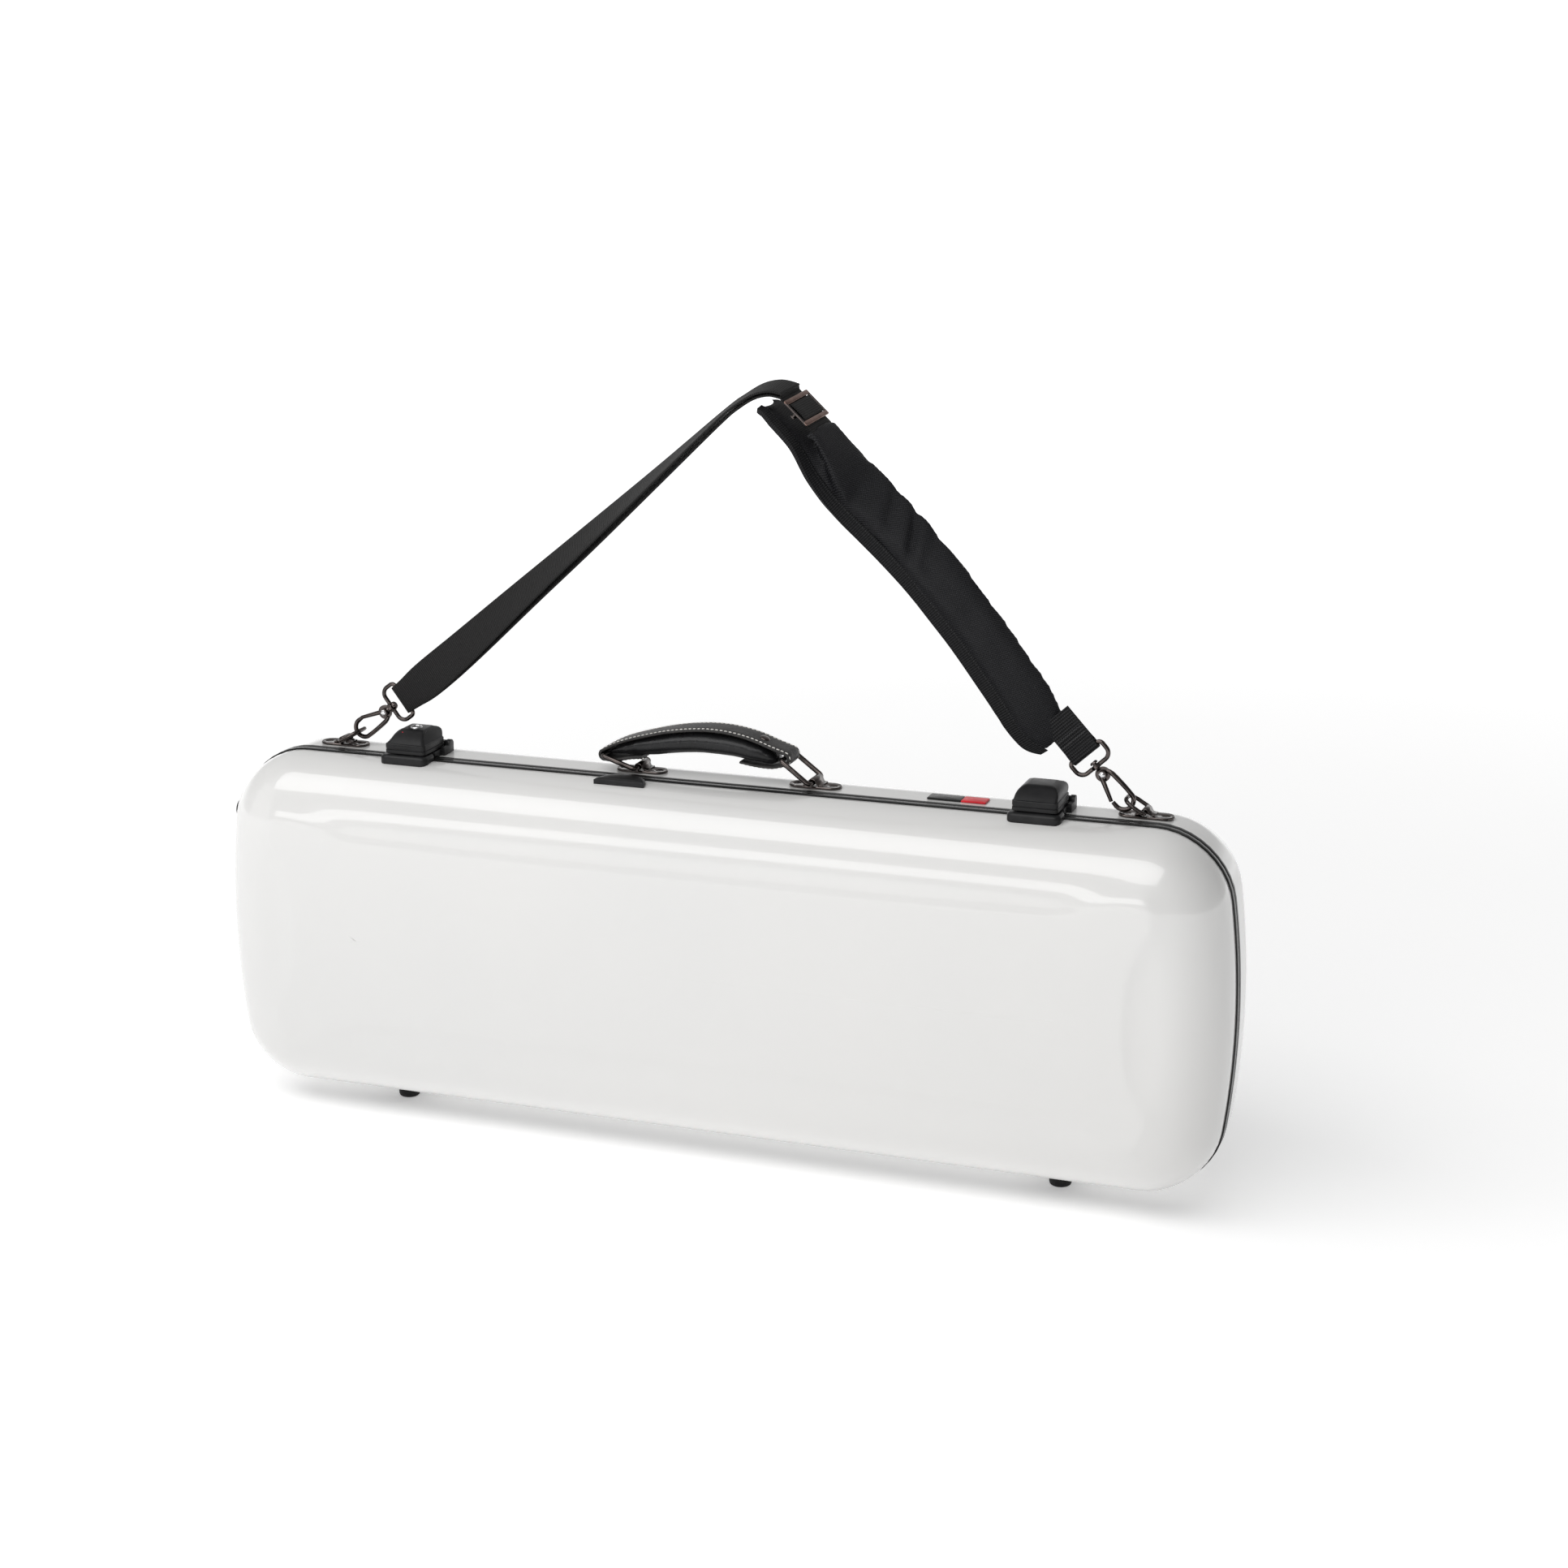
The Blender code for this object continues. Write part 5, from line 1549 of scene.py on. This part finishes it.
def stitch_row(name, spots, length, girth):
    """Black threads, each from one (place, normal) to the next one of its pair."""
    mesh = bmesh.new()
    for (a, up), (b, _) in zip(spots[::2], spots[1::2]):
        along = (b - a).normalized()
        side = along.cross(up).normalized()
        axes = (along, side, side.cross(along) * -1)
        stitch(mesh, (a + b) / 2, axes, (length / 2, girth, girth), 1)
    finish_piece(mesh_object(name, mesh), "black_thread", "case")


edge_line = []
for i in range(4, len(PAD_SPINE) - 3):
    centre, _, width, normal = PAD_FRAMES[i]
    edge_line.append((centre - width * (PAD_SPINE[i][3] - 8.6) + normal * 1.8, normal))
edge_spots = [(place, normal) for place, (normal,) in walk(edge_line, 1.5)]
stitch_row("shoulder_pad_stitching", edge_spots, 1.2, 0.22)


# ---------------------------------------------------------------- end webbing

END_ROWS = (
    (*flat_place(RIGHT_BAR), 0, 11.7, 2.85),
    (*flat_place(RIGHT_BAR - RIGHT_DOWN * 4), 0, 11.9, 2.3),
    (*flat_place(RIGHT_BAR - RIGHT_DOWN * 9), 0, 12, 1.35),
    (*flat_place(RIGHT_BAR - RIGHT_DOWN * 33), 0, 12, 1.3),
)
end_rows = eased(END_ROWS, 6)
tape("end_tape", folded_tape(end_rows, 0), 12, "end_web", "case", ("end_webbing",))
RIGHT_ACROSS = Vector((-RIGHT_DOWN.z, 0, RIGHT_DOWN.x))
for i, start in enumerate((11.5, 16.5)):
    for k, side in enumerate((-1, 1)):
        zigzag = []
        for step in range(25):
            across = -10.8 + 0.9 * step
            back = start + (0.75 if step % 2 else -0.75)
            place = RIGHT_BAR - RIGHT_DOWN * back + RIGHT_ACROSS * across
            zigzag.append((place + Vector((0, side * 2.2, 0)), Vector((0, side, 0))))
        spots = [spot for pair in zip(zigzag, zigzag[1:]) for spot in pair]
        stitch_row(f"end_zigzag_{i}_{k}", spots, 1.9, 0.32)


# ---------------------------------------------------------------- interior

bed = softened("suspension_bed", "plush", "case", 1.6, 3)
lining = softened("lid_lining", "lid_plush", "lid", 1.6, 3)
rest = softened("neck_rest", "plush", "case", 2.2, 4)
softened("neck_strap", "webbing", "case", 0.4)
softened("small_well_lid", "lid_plush", "small_well_lid", 0.8, 3)
for side in ("upper", "lower"):
    softened(f"bow_clip_{side}", "plastic", f"bow_clip_{side}", 0.8, 3)
    softened(f"bow_tip_pocket_{side}", "lid_plush", "lid", 1.0, 3)


# ---------------------------------------------------------------- camera, lights, floor


def photo_camera():
    yaw, pitch, roll = math.radians(19.66), math.radians(15.18), math.radians(-0.137)
    flat = math.cos(pitch)
    ahead = Vector((-math.sin(yaw) * flat, math.cos(yaw) * flat, -math.sin(pitch)))
    level_right = Vector((math.cos(yaw), math.sin(yaw), 0))
    level_up = level_right.cross(ahead)
    right = math.cos(roll) * level_right + math.sin(roll) * level_up
    up = math.cos(roll) * level_up - math.sin(roll) * level_right
    data = bpy.data.cameras.new("camera")
    data.sensor_width = 36
    data.lens = 61.64
    data.clip_start = 0.05
    data.clip_end = 50
    camera = link(bpy.data.objects.new("camera", data))
    axes = Matrix((right, up, -ahead)).transposed().to_4x4()
    camera.matrix_world = Matrix.Translation((0.6993, -1.7906, 0.8036)) @ axes
    bpy.context.scene.camera = camera


def area_light(name, place, target, size, power, shape=1.0):
    data = bpy.data.lights.new(name, "AREA")
    data.shape = "RECTANGLE"
    data.size = size
    data.size_y = size * shape
    data.energy = power
    light = link(bpy.data.objects.new(name, data))
    light.location = place
    aim = Vector(target) - Vector(place)
    light.rotation_euler = aim.to_track_quat("-Z", "Y").to_euler()
    return light


def floor():
    mesh = bmesh.new()
    bmesh.ops.create_grid(mesh, x_segments=4, y_segments=4, size=12)
    plane = mesh_object("floor", mesh)
    tree, shader = shader_of("floor", (0.93, 0.93, 0.93), 0.8)
    set_inputs(shader, Emission_Color=(1, 1, 1, 1))
    away = tree.nodes.new("ShaderNodeVectorMath")
    away.operation = "LENGTH"
    tree.links.new(coordinates(tree), away.inputs[0])
    glow = level(tree, away.outputs["Value"], 0.3, 0.95, 0.5, 4.0)
    tree.links.new(glow, shader.inputs["Emission Strength"])
    mottle(tree, shader, (1.5, 2, (0.93, 0.93, 0.93), (0.95, 0.95, 0.95)))
    plane.data.materials.append(MATERIALS["floor"])


def studio_light():
    """A white horizon behind the case, and grey surroundings that the softboxes light."""
    world = bpy.data.worlds.new("studio")
    world.use_nodes = True
    tree = world.node_tree
    sky = tree.nodes["Background"]
    sky.inputs["Color"].default_value = (1, 1, 1, 1)
    parts = tree.nodes.new("ShaderNodeSeparateXYZ")
    tree.links.new(coordinates(tree, "Generated"), parts.inputs[0])

    def falloff(axis, start, end, low, high):
        return level(tree, parts.outputs[axis], low, high, start, end, "SMOOTHSTEP")

    rear = falloff("Z", 0.05, 0.2, 0.85, 0.2)
    rear = maths(tree, "MULTIPLY", rear, falloff("Y", -0.1, 0.5, 0.0, 1.0))
    rear = maths(tree, "MULTIPLY", rear, falloff("X", 0.25, 0.7, 1.0, 0.3))
    front = falloff("X", 0.1, 0.6, 0.38, 0.18)
    tree.links.new(maths(tree, "ADD", front, rear), sky.inputs["Strength"])
    bpy.context.scene.world = world


photo_camera()
floor()
studio_light()
bpy.context.scene.view_settings.view_transform = "Standard"
area_light("softbox_top", (-0.35, -1.02, 1.74), (0, -0.05, 0.27), 2.5, 24, 0.44)
area_light("softbox_front", (-1.0, -3.2, 0.95), (0, 0, 0.2), 2.6, 15, 0.27)
area_light("softbox_left", (-2.6, -1.2, 1.0), (-0.2, 0, 0.15), 1.2, 3, 1.4)
